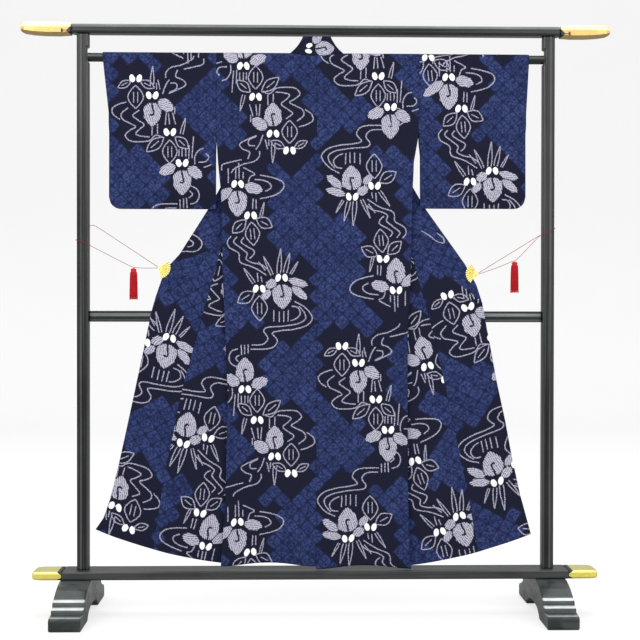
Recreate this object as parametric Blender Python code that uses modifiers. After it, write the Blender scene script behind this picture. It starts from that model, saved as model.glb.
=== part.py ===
# Cotton yukata robe shown from the back on a lacquered kimono stand.
# Metres, +Z up, +X to the viewer's right, the viewer looks along +Y.
import math

import bmesh
import bpy
import numpy as np

# Stand sizes
STAND = {
    "floor_to_rod": 1.722,
    "rod_radius": 0.0138,
    "post_centre": 0.721,
    "post_size": 0.036,
    "post_bottom": 0.138,
    "notch_depth": 0.007,
    "notch_top": 1.752,
    "top_bar_low": 1.793,
    "top_bar_high": 1.822,
    "top_bar_depth": 0.046,
    "top_bar_half": 0.757,
    "top_cap_half": 0.910,
    "top_cap_rise": 0.004,
    "top_cap_flare": 0.30,
    "mid_bar_low": 0.905,
    "mid_bar_high": 0.939,
    "mid_bar_depth": 0.018,
    "plank_low": 0.112,
    "plank_depth": 0.100,
    "plank_half": 0.782,
    "plank_cap_half": 0.872,
    "foot_width": 0.095,
    "foot_half": 0.250,
    "arch_half": 0.112,
    "arch_height": 0.034,
}

# How far the middle of each foot stands outside its post
FOOT_OUT = {"left": 0.018, "right": 0.004}

# Cloth sizes, flat as cut and sewn
CLOTH = {
    "wall": 0.0012,
    "seam_gap": 0.0003,
    "rod_clear": 0.0009,
    "neck_half": 0.083,
    "neck_angle": 68.0,
    "front_width": 0.250,
    "sleeve_join": 0.230,
    "side_open": 0.380,
    "cuff_open": 0.230,
    "sleeve_corner": 0.037,
    "collar_nape": 0.058,
    "collar_end": 0.075,
    "collar_stop": 0.740,
    "collar_tip": 0.860,
    "fold_radius": 0.0040,
    "fold_lap": 0.0186,
    "wave_depth": 0.0045,
    "wave_pitch": 0.155,
}

# Depth of the layers, columns: height, back layer, front layer
LAYER_DEPTH = [
    (0.15, -0.0215, -0.0125),
    (0.95, -0.0195, -0.0120),
    (1.25, -0.0170, 0.0020),
    (1.50, -0.0165, 0.0095),
    (1.722, -0.0159, 0.0159),
]

# Half widths of the body at its side edge, columns: height, left, right
SIDE_EDGE = [
    (0.150, 0.2955, 0.2945),
    (0.345, 0.2816, 0.2860),
    (0.673, 0.2738, 0.2830),
    (0.850, 0.2816, 0.2830),
    (1.080, 0.2910, 0.2936),
    (1.300, 0.2955, 0.2980),
    (1.400, 0.3050, 0.3010),
    (1.480, 0.3100, 0.3150),
    (1.740, 0.3100, 0.3180),
]

# Outer edge of the opened front, from the neck to the hem corner
# Columns: distance from the centre, height
WING_EDGE = {
    "left": [
        (0.175, 1.700), (0.178, 1.620), (0.222, 1.460), (0.336, 1.256), (0.424, 1.115),
        (0.469, 1.066), (0.497, 0.985), (0.511, 0.936), (0.537, 0.810), (0.5625, 0.690),
        (0.588, 0.571), (0.613, 0.456), (0.638, 0.3555), (0.658, 0.298), (0.683, 0.2625),
    ],
    "right": [
        (0.175, 1.700), (0.178, 1.620), (0.222, 1.460), (0.340, 1.258), (0.415, 1.153),
        (0.463, 1.085), (0.497, 1.0235), (0.516, 0.967), (0.5255, 0.917), (0.541, 0.835),
        (0.5635, 0.716), (0.5885, 0.602), (0.611, 0.482), (0.636, 0.368), (0.670, 0.245),
    ],
}

# Outer edge and bottom of each sleeve, and where it meets the body
SLEEVE = {
    "left": {"outer_top": 0.660, "outer_low": 0.641, "inner_low": 0.3115, "bottom": 1.2535},
    "right": {"outer_top": 0.659, "outer_low": 0.650, "inner_low": 0.3215, "bottom": 1.2575},
}

HEM = {"left": 0.155, "right": 0.146, "bow": 0.012}

# Clip, cord and tassel sizes; the clip holds the corner of each front
CLIP = {"radius": 0.034, "spread": 120.0, "ribs": 10, "plate": 0.0022, "slot": 0.0022}
CORD_RADIUS = 0.0008
TASSEL = {"length": 0.097, "head": 0.0098}

CLIP_AT = {"left": (0.485, 1.073), "right": (0.498, 1.056)}
CLIP_TURN = {"left": 26.0, "right": -5.0}
TASSEL_AT = {"left": (0.565, 1.070), "right": (0.616, 1.093)}
# Heights of a cord on its post: first inner corner, outer corner, last inner corner
CORD_HEIGHTS = {"left": (1.2085, 1.1600, 1.1410), "right": (1.1763, 1.1989, 1.1750)}
# Which way it goes round the post first: 1 behind, -1 in front
CORD_TURN = {"left": 1.0, "right": -1.0}


def smooth(value):
    value = np.clip(value, 0.0, 1.0)
    return value * value * (3.0 - 2.0 * value)


def column(table, key, col):
    rows = np.array(table)
    return np.interp(key, rows[:, 0], rows[:, col])


RING = STAND["rod_radius"] + CLOTH["rod_clear"] + CLOTH["wall"]
QUARTER = RING * math.pi / 2
RIDGE = STAND["floor_to_rod"] + RING
SIDES = {"left": -1.0, "right": 1.0}


def hem_length(side):
    return QUARTER + STAND["floor_to_rod"] - HEM[side]


def side_edge(side, z):
    return column(SIDE_EDGE, z, 1 if side == "left" else 2)


def wave(d, z):
    fade = smooth((1.25 - z) / 1.0)
    return -CLOTH["wave_depth"] * fade * (0.5 + 0.5 * np.sin(2 * math.pi * d / CLOTH["wave_pitch"] + 1.2))


def layer_depth(z, layer, d, edge_gap, closing):
    back = column(LAYER_DEPTH, z, 1)
    front = column(LAYER_DEPTH, z, 2)
    middle = (back + front) / 2
    half = (front - back) / 2
    least = (CLOTH["wall"] + CLOTH["seam_gap"]) / 2
    spread = least + (half - least) * (1 - closing * (1 - smooth(edge_gap / 0.035)))
    return middle + layer * spread + wave(d, z)


def side_closing(v):
    return smooth((v - CLOTH["side_open"]) / 0.05)


# A row of the cloth lies v metres from the shoulder ridge, measured along the cloth
def hang(v, layer, d, edge_gap, closing):
    angle = np.minimum(v / RING, math.pi / 2)
    over = STAND["floor_to_rod"] + RING * np.cos(angle)
    z = np.where(v < QUARTER, over, STAND["floor_to_rod"] - (v - QUARTER))
    y_hang = layer_depth(z, layer, d, edge_gap, closing)
    y = np.where(v < QUARTER, layer * RING * np.sin(angle), y_hang)
    return y, z


def back_point(side, d, v):
    edge = side_edge(side, STAND["floor_to_rod"] - np.maximum(v - QUARTER, 0))
    y, z = hang(v, -1.0, d, edge - d, side_closing(v))
    lift = 0.006 * np.cos(2 * math.pi * (d / 0.30)) * smooth((v - 1.2) / 0.38)
    return SIDES[side] * d, y, z - lift


def crease(side, v):
    top = CLOTH["neck_half"] + CLOTH["fold_lap"]
    low = side_edge(side, HEM[side]) - 0.012
    return top + (low - top) * v / hem_length(side)


def wing_target(side, v):
    edge = np.array(WING_EDGE[side])
    steps = np.hypot(np.diff(edge[:, 0]), np.diff(edge[:, 1]))
    from_top = hem_length(side) - (steps.sum() - np.concatenate([[0], np.cumsum(steps)]))
    return np.interp(v, from_top, edge[:, 0]), np.interp(v, from_top, edge[:, 1])


def wing_width(side, v):
    d, z = wing_target(side, v)
    z_row = STAND["floor_to_rod"] - np.maximum(v - QUARTER, 0)
    reach = np.hypot(d - crease(side, v), z - z_row)
    least = CLOTH["fold_lap"] + CLOTH["collar_nape"]
    blend = smooth((v - 0.12) / 0.25)
    return np.maximum(least, least + (reach - least) * blend)


def collar_width(v):
    grown = CLOTH["collar_nape"] + (CLOTH["collar_end"] - CLOTH["collar_nape"]) * np.clip(v, 0, None) / 0.8
    left = (CLOTH["collar_tip"] - v) / (CLOTH["collar_tip"] - CLOTH["collar_stop"])
    return grown * np.clip(left, 0, 1)


def collar_seam(side, v):
    return wing_width(side, v) - collar_width(v)


def okumi_seam(side, v):
    z_row = STAND["floor_to_rod"] - np.maximum(v - QUARTER, 0)
    return CLOTH["front_width"] - (side_edge(side, z_row) - crease(side, v))


# The opened front: q metres past the crease, measured along the cloth
def wing_point(side, q, v):
    low = side_edge(side, HEM[side]) - 0.012
    lean = math.atan((low - CLOTH["neck_half"] - CLOTH["fold_lap"]) / hem_length(side))
    lean = lean * smooth((v - QUARTER) / 0.10)
    turn = math.pi * smooth((v - 0.02) / 0.12)
    radius = CLOTH["fold_radius"]

    def folded(length):
        across = length * np.cos(lean)
        bend = np.minimum(across / radius, turn)
        inward = radius * np.sin(bend) + (across - radius * bend) * np.cos(turn)
        away = radius * (1 - np.cos(bend)) + (across - radius * bend) * np.sin(turn)
        along = length * np.sin(lean)
        d = crease(side, v) - inward * np.cos(lean) - along * np.sin(lean)
        dz = -inward * np.sin(lean) + along * np.cos(lean)
        return d, away, dz

    at = crease(side, v)
    edge = side_edge(side, STAND["floor_to_rod"] - np.maximum(v - QUARTER, 0))
    y, z = hang(v, 1.0, at, edge - at, side_closing(v))
    d, away, dz = folded(q)
    full = wing_width(side, v)
    d_full, away_full, dz_full = folded(full)
    d_want, z_want = wing_target(side, v)
    share = np.clip((q - math.pi * radius) / np.maximum(full - math.pi * radius, 0.001), 0, 1)
    pull = share ** 2 * smooth((v - 0.12) / 0.25)
    bow = HEM["bow"] * 4 * share * (1 - share) * smooth((v - 1.1) / 0.48)
    d = d + (d_want - d_full) * pull
    z = z + dz + (z_want - z - dz_full) * pull - bow
    drift = wave(d, z) - wave(at, z)
    return SIDES[side] * d, y + away + drift * share, z


def front_point(side, d, v):
    edge = side_edge(side, STAND["floor_to_rod"] - np.maximum(v - QUARTER, 0))
    y, z = hang(v, 1.0, d, edge - d, side_closing(v))
    return SIDES[side] * d, y, z


# Materials
def material(name, colour, roughness, metallic=0.0):
    made = bpy.data.materials.new(name)
    made.use_nodes = True
    shader = made.node_tree.nodes["Principled BSDF"]
    shader.inputs["Base Color"].default_value = (*colour, 1.0)
    shader.inputs["Roughness"].default_value = roughness
    shader.inputs["Metallic"].default_value = metallic
    return made


def start():
    for old in list(bpy.data.objects):
        bpy.data.objects.remove(old, do_unlink=True)
    group = bpy.data.collections.new("cotton_yukata_on_stand")
    bpy.context.scene.collection.children.link(group)
    cutters = bpy.data.collections.new("cutters")
    bpy.context.scene.collection.children.link(cutters)
    return group, cutters


def place(group, name, verts, faces, look):
    mesh = bpy.data.meshes.new(name)
    mesh.from_pydata([tuple(float(c) for c in p) for p in verts], [], faces)
    mesh.update()
    piece = bpy.data.objects.new(name, mesh)
    piece.data.materials.append(look)
    group.objects.link(piece)
    return piece


def bevel(piece, width, segments=2):
    edge = piece.modifiers.new("Bevel", "BEVEL")
    edge.width = width
    edge.segments = segments
    edge.limit_method = "ANGLE"
    edge.angle_limit = math.radians(40)
    return piece


def box(group, name, low, high, look, width=0.0, segments=2):
    corners = [(x, y, z) for x in (low[0], high[0]) for y in (low[1], high[1]) for z in (low[2], high[2])]
    faces = [(0, 1, 3, 2), (4, 6, 7, 5), (0, 4, 5, 1), (2, 3, 7, 6), (0, 2, 6, 4), (1, 5, 7, 3)]
    piece = place(group, name, corners, faces, look)
    if width:
        bevel(piece, width, segments)
    return piece


# A flat outline in two axes, drawn out along the third
def prism(group, name, outline, axis, low, high, look):
    count = len(outline)
    verts = []
    for level in (low, high):
        for a, b in outline:
            verts.append({"x": (level, a, b), "y": (a, level, b)}[axis])
    faces = [tuple(range(count)), tuple(reversed(range(count, 2 * count)))]
    for i in range(count):
        j = (i + 1) % count
        faces.append((j, i, count + i, count + j))
    piece = place(group, name, verts, faces, look)
    return upright(piece)


def upright(piece):
    work = bmesh.new()
    work.from_mesh(piece.data)
    bmesh.ops.recalc_face_normals(work, faces=work.faces)
    work.to_mesh(piece.data)
    work.free()
    return piece


# A cloth piece: a grid of points with Solidify as its wall
def cloth(group, name, rows, look, flip=False):
    across = len(rows[0])
    verts = [p for row in rows for p in row]
    faces = []
    for i in range(len(rows) - 1):
        for j in range(across - 1):
            a = i * across + j
            quad = (a, a + 1, a + across + 1, a + across)
            faces.append(tuple(reversed(quad)) if flip else quad)
    piece = place(group, name, verts, faces, look)
    wall = piece.modifiers.new("Solidify", "SOLIDIFY")
    wall.thickness = CLOTH["wall"]
    wall.offset = 0.0
    wall.use_even_offset = True
    return piece


def spaced(low, high, count):
    return low + (high - low) * np.linspace(0, 1, count)


# Width of the okumi at a row, and the row where it has a given width
def okumi_span(side, v):
    return float(collar_seam(side, v) - okumi_seam(side, v))


def okumi_start(side, width):
    v = 0.25
    while okumi_span(side, v) < width:
        v += 0.001
    return v


# Rows that the front, okumi and collar share, so that their seams match
def stations(side):
    tip = [okumi_start(side, 0.0), okumi_start(side, 0.003)]
    rows = [0.0, QUARTER * 0.5, QUARTER, 0.05, 0.08, 0.11, 0.15, 0.19, 0.23, 0.28, 0.33]
    rows = [v for v in rows if v < tip[0] - 0.02] + tip
    rows += [v for v in (0.40, 0.47, 0.54, 0.61, 0.68) if v > tip[1] + 0.02]
    rows += [CLOTH["collar_stop"], 0.80, CLOTH["collar_tip"] - 0.006, CLOTH["collar_tip"]]
    return rows + [float(v) for v in spaced(0.93, hem_length(side), 10)]


# Steps round the neck hole from the shoulder to the nape, in degrees
NECK_STEPS = (0, 18, 40, 63, 81, 90)


# Garment pieces
def body(group, side, look):
    half_gap = CLOTH["seam_gap"] / 2
    back = []
    nape = math.radians(CLOTH["neck_angle"]) * RING
    below = [0.055, 0.11, 0.18, 0.23, 0.29, 0.36, 0.43]
    below += list(spaced(0.54, hem_length(side), 12))
    across = (0, 0.04, 0.1, 0.2, 0.33, 0.47, 0.62, 0.8, 0.92, 1)
    for v in reversed(below):
        outer = float(side_edge(side, STAND["floor_to_rod"] - max(v - QUARTER, 0)))
        back.append([back_point(side, outer + (half_gap - outer) * s, v) for s in across])
    for turn in reversed(NECK_STEPS[1:]):
        v = nape * math.sin(math.radians(turn))
        inner = max(CLOTH["neck_half"] * math.cos(math.radians(turn)), half_gap)
        outer = float(side_edge(side, RIDGE))
        back.append([back_point(side, outer + (inner - outer) * s, v) for s in across])
    front = []
    fold = math.pi * CLOTH["fold_radius"]
    for v in stations(side):
        z = STAND["floor_to_rod"] - max(v - QUARTER, 0)
        outer = float(side_edge(side, z))
        turn = float(crease(side, v))
        inner = min(float(collar_seam(side, v)), float(okumi_seam(side, v))) - half_gap
        row = [front_point(side, outer + (turn - outer) * s, v) for s in (0, 0.12, 0.4, 0.7)]
        row += [wing_point(side, q, v) for q in (0.0, fold * 0.33, fold * 0.67, fold)]
        row += [wing_point(side, fold + (inner - fold) * s, v) for s in (0.5, 1.0)]
        front.append(row)
    return cloth(group, "body_" + side, back + front, look, side == "right")


def sleeve(group, side, look):
    sizes = SLEEVE[side]
    drop = STAND["floor_to_rod"] - sizes["bottom"]
    join = CLOTH["sleeve_join"]
    cuff = CLOTH["cuff_open"]
    corner = CLOTH["sleeve_corner"]
    least = (CLOTH["wall"] + CLOTH["seam_gap"]) / 2
    steps = [0.0, 0.05, 0.15, 0.35, 0.55, 0.75, 0.9, 0.96, 1.0]
    heights = [0.0, 0.5 * QUARTER, QUARTER, 0.08, 0.15, 0.23, 0.29, 0.35, 0.41, 0.455, 0.478]
    heights.append(drop + QUARTER)

    def at(share, v, layer):
        down = max(v - QUARTER, 0) / drop
        body_edge = float(side_edge(side, STAND["floor_to_rod"]))
        inner = body_edge + CLOTH["seam_gap"]
        inner += (sizes["inner_low"] - body_edge - CLOTH["seam_gap"]) * float(smooth((v - join) / 0.1))
        outer = sizes["outer_top"] + (sizes["outer_low"] - sizes["outer_top"]) * min(1.0, down * 2.5)
        d = inner + (outer - inner) * share
        reach = outer - d
        round_off = corner - math.sqrt(max(corner ** 2 - max(corner - reach, 0) ** 2, 0))
        scale = (drop + QUARTER - round_off) / (drop + QUARTER)
        v_here = v * scale
        to_bottom = (drop + QUARTER - round_off) - v_here
        closing = 1 - float(smooth(to_bottom / 0.06))
        past_cuff = float(smooth((v_here - cuff) / 0.03))
        closing = max(closing, past_cuff * (1 - float(smooth(reach / 0.04))))
        angle = min(v_here / RING, math.pi / 2)
        if v_here < QUARTER:
            y = layer * RING * math.sin(angle)
            return SIDES[side] * d, y, STAND["floor_to_rod"] + RING * math.cos(angle)
        z = STAND["floor_to_rod"] - (v_here - QUARTER)
        back = float(column(LAYER_DEPTH, z, 1))
        front = float(column(LAYER_DEPTH, z, 2))
        middle = (back + front) / 2
        half = (front - back) / 2
        y = middle + layer * (least + (half - least) * (1 - closing))
        return SIDES[side] * d, y, z

    rows = [[at(s, v, -1.0) for s in steps] for v in reversed(heights)]
    rows += [[at(s, v, 1.0) for s in steps] for v in heights[1:]]
    return cloth(group, "sleeve_" + side, rows, look, side == "left")


def okumi(group, side, look):
    half_gap = CLOTH["seam_gap"] / 2
    first = okumi_start(side, 0.003)
    rows = []
    for v in [v for v in stations(side) if v >= first]:
        low = float(okumi_seam(side, v)) + half_gap
        high = float(collar_seam(side, v)) - (half_gap if v < CLOTH["collar_tip"] else 0)
        rows.append([wing_point(side, low + (high - low) * s, v) for s in (0, 0.33, 0.67, 1)])
    return cloth(group, "okumi_" + side, rows, look, side == "right")


# Direction in which the standing collar leaves its seam
# Columns: metres past the shoulder ridge, outward, away, up; before the ridge -0.1 is the nape
COLLAR_LEAN = [
    (-0.100, 0.00, -0.03, 1.00),
    (-0.050, -0.30, -0.02, 0.95),
    (0.000, -0.82, 0.05, 0.57),
    (0.030, -0.60, 0.75, 0.28),
    (0.070, -0.10, 0.99, 0.15),
    (0.110, 0.50, 0.86, 0.15),
    (0.160, 0.90, 0.40, 0.22),
    (0.220, 0.95, 0.00, 0.31),
]


def collar_point(side, share, v):
    gap = CLOTH["seam_gap"] / 2
    lean = np.array([float(column(COLLAR_LEAN, v if v > 0 else v / 900, c)) for c in (1, 2, 3)])
    lean /= np.linalg.norm(lean)
    turn = math.radians(CLOTH["neck_angle"])
    if v < 0:
        along = -v * math.pi / 180
        d = CLOTH["neck_half"] * math.cos(along)
        angle = turn * math.sin(along)
        z = STAND["floor_to_rod"] + RING * math.cos(angle)
        seam = np.array([max(d, gap), -RING * math.sin(angle), z])
        width = CLOTH["collar_nape"]
        flat = None
    else:
        q = float(collar_seam(side, v)) + gap
        seam = np.array([float(c) for c in wing_point(side, q, v)])
        seam[0] *= SIDES[side]
        width = float(collar_width(v)) - gap
        flat = np.array([float(c) for c in wing_point(side, q + width * share, v)])
        flat[0] *= SIDES[side]
    clear = 0.0007 * (1 - float(smooth((v - 0.16) / 0.06)))
    point = seam + lean * (width * share + clear)
    if flat is not None:
        blend = float(smooth((v - 0.10) / 0.12))
        point = point + (flat - point) * blend
    return SIDES[side] * point[0], point[1], point[2]


def collar(group, look):
    shares = (0, 0.34, 0.67, 1)
    neck = [-turn for turn in NECK_STEPS[1:-1]]
    rows = []
    for side in SIDES:
        lengths = [v for v in reversed(stations(side)) if v < CLOTH["collar_tip"]] + neck
        half = [[collar_point(side, s, v) for s in shares] for v in lengths]
        nape = [[(0.0, y, z) for _, y, z in [collar_point(side, s, -90) for s in shares]]]
        rows += half + nape if side == "left" else half[::-1]
    return cloth(group, "collar", rows, look)


# Stand pieces
def rod(group, look):
    length = STAND["post_centre"] - STAND["post_size"] / 2 + STAND["notch_depth"] - 0.0036
    count = 20
    verts = []
    for x in (-length, length):
        for i in range(count):
            a = 2 * math.pi * i / count
            z = STAND["floor_to_rod"] + STAND["rod_radius"] * math.cos(a)
            verts.append((x, STAND["rod_radius"] * math.sin(a), z))
    faces = [tuple(range(count)), tuple(reversed(range(count, 2 * count)))]
    for i in range(count):
        j = (i + 1) % count
        faces.append((j, i, count + i, count + j))
    return upright(place(group, "hanging_rod", verts, faces, look))


def post(group, side, look):
    half = STAND["post_size"] / 2
    sign = SIDES[side]
    inner = STAND["post_centre"] - half
    outer = STAND["post_centre"] + half
    cut = inner + STAND["notch_depth"]
    low = STAND["floor_to_rod"] - STAND["rod_radius"] - 0.0003
    top = STAND["top_bar_low"] - 0.0003
    outline = [
        (inner, STAND["post_bottom"] + 0.0003), (outer, STAND["post_bottom"] + 0.0003),
        (outer, top), (inner, top),
        (inner, STAND["notch_top"]), (cut, STAND["notch_top"]), (cut, low), (inner, low),
    ]
    piece = prism(group, "post_" + side, [(sign * x, z) for x, z in outline], "y", -half, half, look)
    return bevel(piece, 0.003, 2)


def foot(group, side, look):
    end = STAND["foot_half"]
    half_length = STAND["arch_half"]
    top = STAND["plank_low"] - 0.0003
    # Half of the side view, columns: distance from the middle, height
    half_side = [
        (0.000, top), (0.060, top), (0.090, 0.1060), (0.120, 0.0965), (0.150, 0.0830), (0.162, 0.0770),
        (0.176, 0.0730), (0.181, 0.0600), (0.198, 0.0560), (0.203, 0.0450), (end - 0.008, 0.0410),
        (end, 0.0340), (end, 0.0080), (end - 0.004, 0.0),
    ]
    # Columns: share of the arch's half length, share of its height
    arch = [
        (half_length * along, STAND["arch_height"] * up)
        for along, up in [(1.0, 0.0), (0.90, 0.35), (0.73, 0.68), (0.50, 0.88), (0.25, 0.97)]
    ]
    right_side = half_side[1:] + arch
    outline = [(y, z) for y, z in right_side] + [(0.0, STAND["arch_height"])]
    outline += [(-y, z) for y, z in reversed(right_side)]
    centre = SIDES[side] * (STAND["post_centre"] + FOOT_OUT[side])
    width = STAND["foot_width"] / 2
    piece = prism(group, "foot_" + side, outline, "x", centre - width, centre + width, look)
    return bevel(piece, 0.004, 2)


# Gold fitting at an end of a bar: sections from the bar outwards
def cap(group, name, sign, ends, heights, depth, rise, flare, look):
    # Columns: share of the length, of the rise, of the flare, of the height and of the depth
    stations = [
        (0.00, 0.00, 0.40, 1.00, 1.00), (0.22, 0.00, 0.95, 1.00, 1.00), (0.50, 0.10, 1.00, 1.00, 1.00),
        (0.75, 0.45, 0.85, 0.98, 1.00), (0.93, 0.80, 0.50, 0.92, 0.94), (1.00, 1.00, 0.20, 0.74, 0.80),
    ]
    start_x, end_x = ends
    low, high = heights
    middle = (low + high) / 2
    verts = []
    for along, lift, wider, tall, deep in stations:
        x = sign * (start_x + (end_x - start_x) * along)
        half_z = (high - low) / 2 * tall * (1 + flare * wider)
        half_y = depth / 2 * deep
        cut = 0.006 * tall
        z = middle + rise * lift
        ring = [
            (-1, -1, 0, 1), (-1, 1, 0, -1), (-1, 1, 1, 0), (1, 1, -1, 0),
            (1, 1, 0, -1), (1, -1, 0, 1), (1, -1, -1, 0), (-1, -1, 1, 0),
        ]
        for y_side, z_side, y_cut, z_cut in ring:
            verts.append((x, y_side * half_y + y_cut * cut, z + z_side * half_z + z_cut * cut))
    faces = [tuple(range(8)), tuple(reversed(range(len(verts) - 8, len(verts))))]
    for i in range(len(stations) - 1):
        for j in range(8):
            k = (j + 1) % 8
            faces.append((i * 8 + k, i * 8 + j, i * 8 + 8 + j, i * 8 + 8 + k))
    return upright(place(group, name, verts, faces, look))


def stand(group, black, gold):
    rod(group, black)
    for side in SIDES:
        post(group, side, black)
        foot(group, side, black)
    half = STAND["top_bar_half"]
    deep = STAND["top_bar_depth"] / 2
    low = STAND["top_bar_low"]
    high = STAND["top_bar_high"]
    box(group, "top_bar", (-half, -deep, low), (half, deep, high), black, 0.007, 2)
    inner = STAND["post_centre"] - STAND["post_size"] / 2 - 0.0003
    near = (-inner, -0.0002, STAND["mid_bar_low"])
    far = (inner, STAND["mid_bar_depth"] - 0.001, STAND["mid_bar_high"])
    box(group, "mid_bar", near, far, black, 0.003, 2)
    plank = STAND["plank_depth"] / 2
    near = (-STAND["plank_half"], -plank, STAND["plank_low"])
    far = (STAND["plank_half"], plank, STAND["post_bottom"])
    box(group, "bottom_bar", near, far, black, 0.004, 2)
    for side, sign in SIDES.items():
        ends = (half + 0.0003, STAND["top_cap_half"])
        rise, flare = STAND["top_cap_rise"], STAND["top_cap_flare"]
        cap(group, "top_cap_" + side, sign, ends, (low, high), 2 * deep, rise, flare, gold)
        ends = (STAND["plank_half"] + 0.0003, STAND["plank_cap_half"])
        heights = (STAND["plank_low"], STAND["post_bottom"])
        cap(group, "bottom_cap_" + side, sign, ends, heights, 2 * plank, 0.0, 0.0, gold)


# Fan clip: a ribbed plate before the cloth, a plain leaf behind it and a block past its edge
def clip(group, cutters, side, look):
    sign = SIDES[side]
    pivot_d, pivot_z = CLIP_AT[side]
    y_cloth = edge_depth(side, pivot_z)
    slope = (edge_depth(side, pivot_z + 0.02) - edge_depth(side, pivot_z - 0.02)) / 0.04
    gap = CLIP["slot"] / 2
    first = math.radians(180 - CLIP["spread"] / 2 + CLIP_TURN[side])
    count = CLIP["ribs"] * 2

    def outline(points):
        return [(sign * (pivot_d + along), pivot_z + up) for along, up in points]

    fan = [(0.003, -0.004), (0.003, 0.004)]
    for i in range(count + 1):
        a = first + math.radians(CLIP["spread"]) * i / count
        r = CLIP["radius"] * (1.0 if i % 2 else 0.955)
        fan.append((r * math.cos(a), r * math.sin(a)))
    leaf = [(0.003, -0.006), (-0.024, -0.010), (-0.024, 0.010), (0.003, 0.006)]
    block = [(0.0045, -0.004), (-0.003, -0.004), (-0.003, 0.004), (0.0045, 0.004)]
    near = y_cloth - gap
    far = y_cloth + gap
    front = prism(group, "clip_" + side, outline(fan), "y", near - CLIP["plate"], near, look)
    rear = prism(cutters, "clip_leaf_" + side, outline(leaf), "y", far, far + 0.0015, look)
    near += 0.0004 - CLIP["plate"]
    bridge = prism(cutters, "clip_block_" + side, outline(block), "y", near, far + 0.0011, look)
    for piece in (front, bridge, rear):
        for corner in piece.data.vertices:
            corner.co.y += slope * (corner.co.z - pivot_z)
    for tool in (bridge, rear):
        tool.hide_render = True
        tool.display_type = "WIRE"
        join = front.modifiers.new("Join", "BOOLEAN")
        join.operation = "UNION"
        join.solver = "EXACT"
        join.object = tool
    return front


# Depth of the cloth along the opened edge near the clip
def edge_depth(side, z):
    rows = [wing_point(side, wing_width(side, v) - 0.012, v) for v in spaced(1.0, 0.6, 17)]
    return float(np.interp(z, [float(p[2]) for p in rows], [float(p[1]) for p in rows]))


# A cord loops once round the post and comes back by way of its tassel
# A point on the straight line from one point to another
def between(start, stop, share):
    return tuple(a + (b - a) * share for a, b in zip(start, stop))


def cord_route(side):
    clip_d, clip_z = CLIP_AT[side]
    tassel_d, tassel_z = TASSEL_AT[side]
    y = edge_depth(side, clip_z)
    half = STAND["post_size"] / 2 + 0.0041
    post = STAND["post_centre"]
    near = CORD_TURN[side]
    high, outer, low = CORD_HEIGHTS[side]
    wrap = [
        (post - half - 0.006, near * (half - 0.006), high - 0.001),
        (post - half + 0.008, near * half, high + (outer - high) * 0.15),
        (post, near * half, high + (outer - high) * 0.45),
        (post + half - 0.006, near * half, high + (outer - high) * 0.85),
        (post + half, near * (half - 0.008), outer),
        (post + half, 0.0, outer - 0.002),
        (post + half, -near * (half - 0.007), outer - 0.003),
        (post + half - 0.008, -near * half, outer + (low - outer) * 0.25),
        (post, -near * half, outer + (low - outer) * 0.5),
        (post - half + 0.006, -near * half, outer + (low - outer) * 0.85),
        (post - half, -near * (half - 0.008), low + 0.001),
        (post - half - 0.002, -near * 0.005 - 0.005, low - 0.0015),
        (post - half - 0.010, -0.010, low - 0.006),
    ]
    start = (clip_d + 0.0065, y, clip_z + 0.0022)
    knot = (tassel_d + 0.004, -0.012, tassel_z + 0.0035)
    return [start, between(start, wrap[0], 0.35), between(start, wrap[0], 0.75)] + wrap + [
        between(wrap[-1], knot, 0.5),
        knot,
        (tassel_d - 0.006, -0.012, tassel_z + 0.0025),
        ((tassel_d + clip_d) / 2 + 0.004, -0.008, (tassel_z + clip_z) / 2 - 0.001),
        (clip_d + 0.0065, y, clip_z - 0.0012),
    ]


def cord(group, side, look):
    curve = bpy.data.curves.new("cord_" + side, "CURVE")
    curve.dimensions = "3D"
    curve.bevel_depth = CORD_RADIUS
    curve.bevel_resolution = 1
    curve.resolution_u = 2
    curve.use_fill_caps = True
    line = curve.splines.new("NURBS")
    route = cord_route(side)
    line.points.add(len(route) - 1)
    for spot, (d, y, z) in zip(line.points, route):
        spot.co = (SIDES[side] * d, y, z, 1.0)
    line.use_endpoint_u = True
    line.order_u = 3
    piece = bpy.data.objects.new("cord_" + side, curve)
    curve.materials.append(look)
    group.objects.link(piece)
    return piece


def tassel(group, side, look):
    d, z_top = TASSEL_AT[side]
    x = SIDES[side] * d
    # Columns: share of the length, share of the head or skirt radius
    profile = [
        (0.00, 0.30), (0.03, 0.75), (0.09, 1.00), (0.15, 0.98), (0.19, 0.88), (0.22, 1.04),
        (0.40, 1.20), (0.75, 1.30), (1.00, 1.34),
    ]
    count = 14
    verts = []
    for share, wide in profile:
        for i in range(count):
            a = 2 * math.pi * i / count
            r = TASSEL["head"] * wide
            z = z_top + 0.0013 - TASSEL["length"] * share
            verts.append((x + r * math.cos(a), -0.012 + r * math.sin(a), z))
    faces = [tuple(range(count)), tuple(reversed(range(len(verts) - count, len(verts))))]
    for i in range(len(profile) - 1):
        for j in range(count):
            k = (j + 1) % count
            faces.append((i * count + k, i * count + j, i * count + count + j, i * count + count + k))
    return upright(place(group, "tassel_" + side, verts, faces, look))


def main():
    group, cutters = start()
    cotton = material("dyed_cotton", (0.030, 0.040, 0.130), 0.85)
    black = material("black_lacquer", (0.012, 0.013, 0.014), 0.28)
    gold = material("gold_fitting", (0.85, 0.62, 0.22), 0.30, 1.0)
    red = material("red_silk", (0.62, 0.02, 0.03), 0.55)
    stand(group, black, gold)
    for side in SIDES:
        body(group, side, cotton)
        sleeve(group, side, cotton)
        okumi(group, side, cotton)
        clip(group, cutters, side, gold)
        cord(group, side, red)
        tassel(group, side, red)
    collar(group, cotton)


main()
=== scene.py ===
import math

import bmesh
import bpy
import numpy as np
from mathutils import Matrix, Vector


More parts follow.
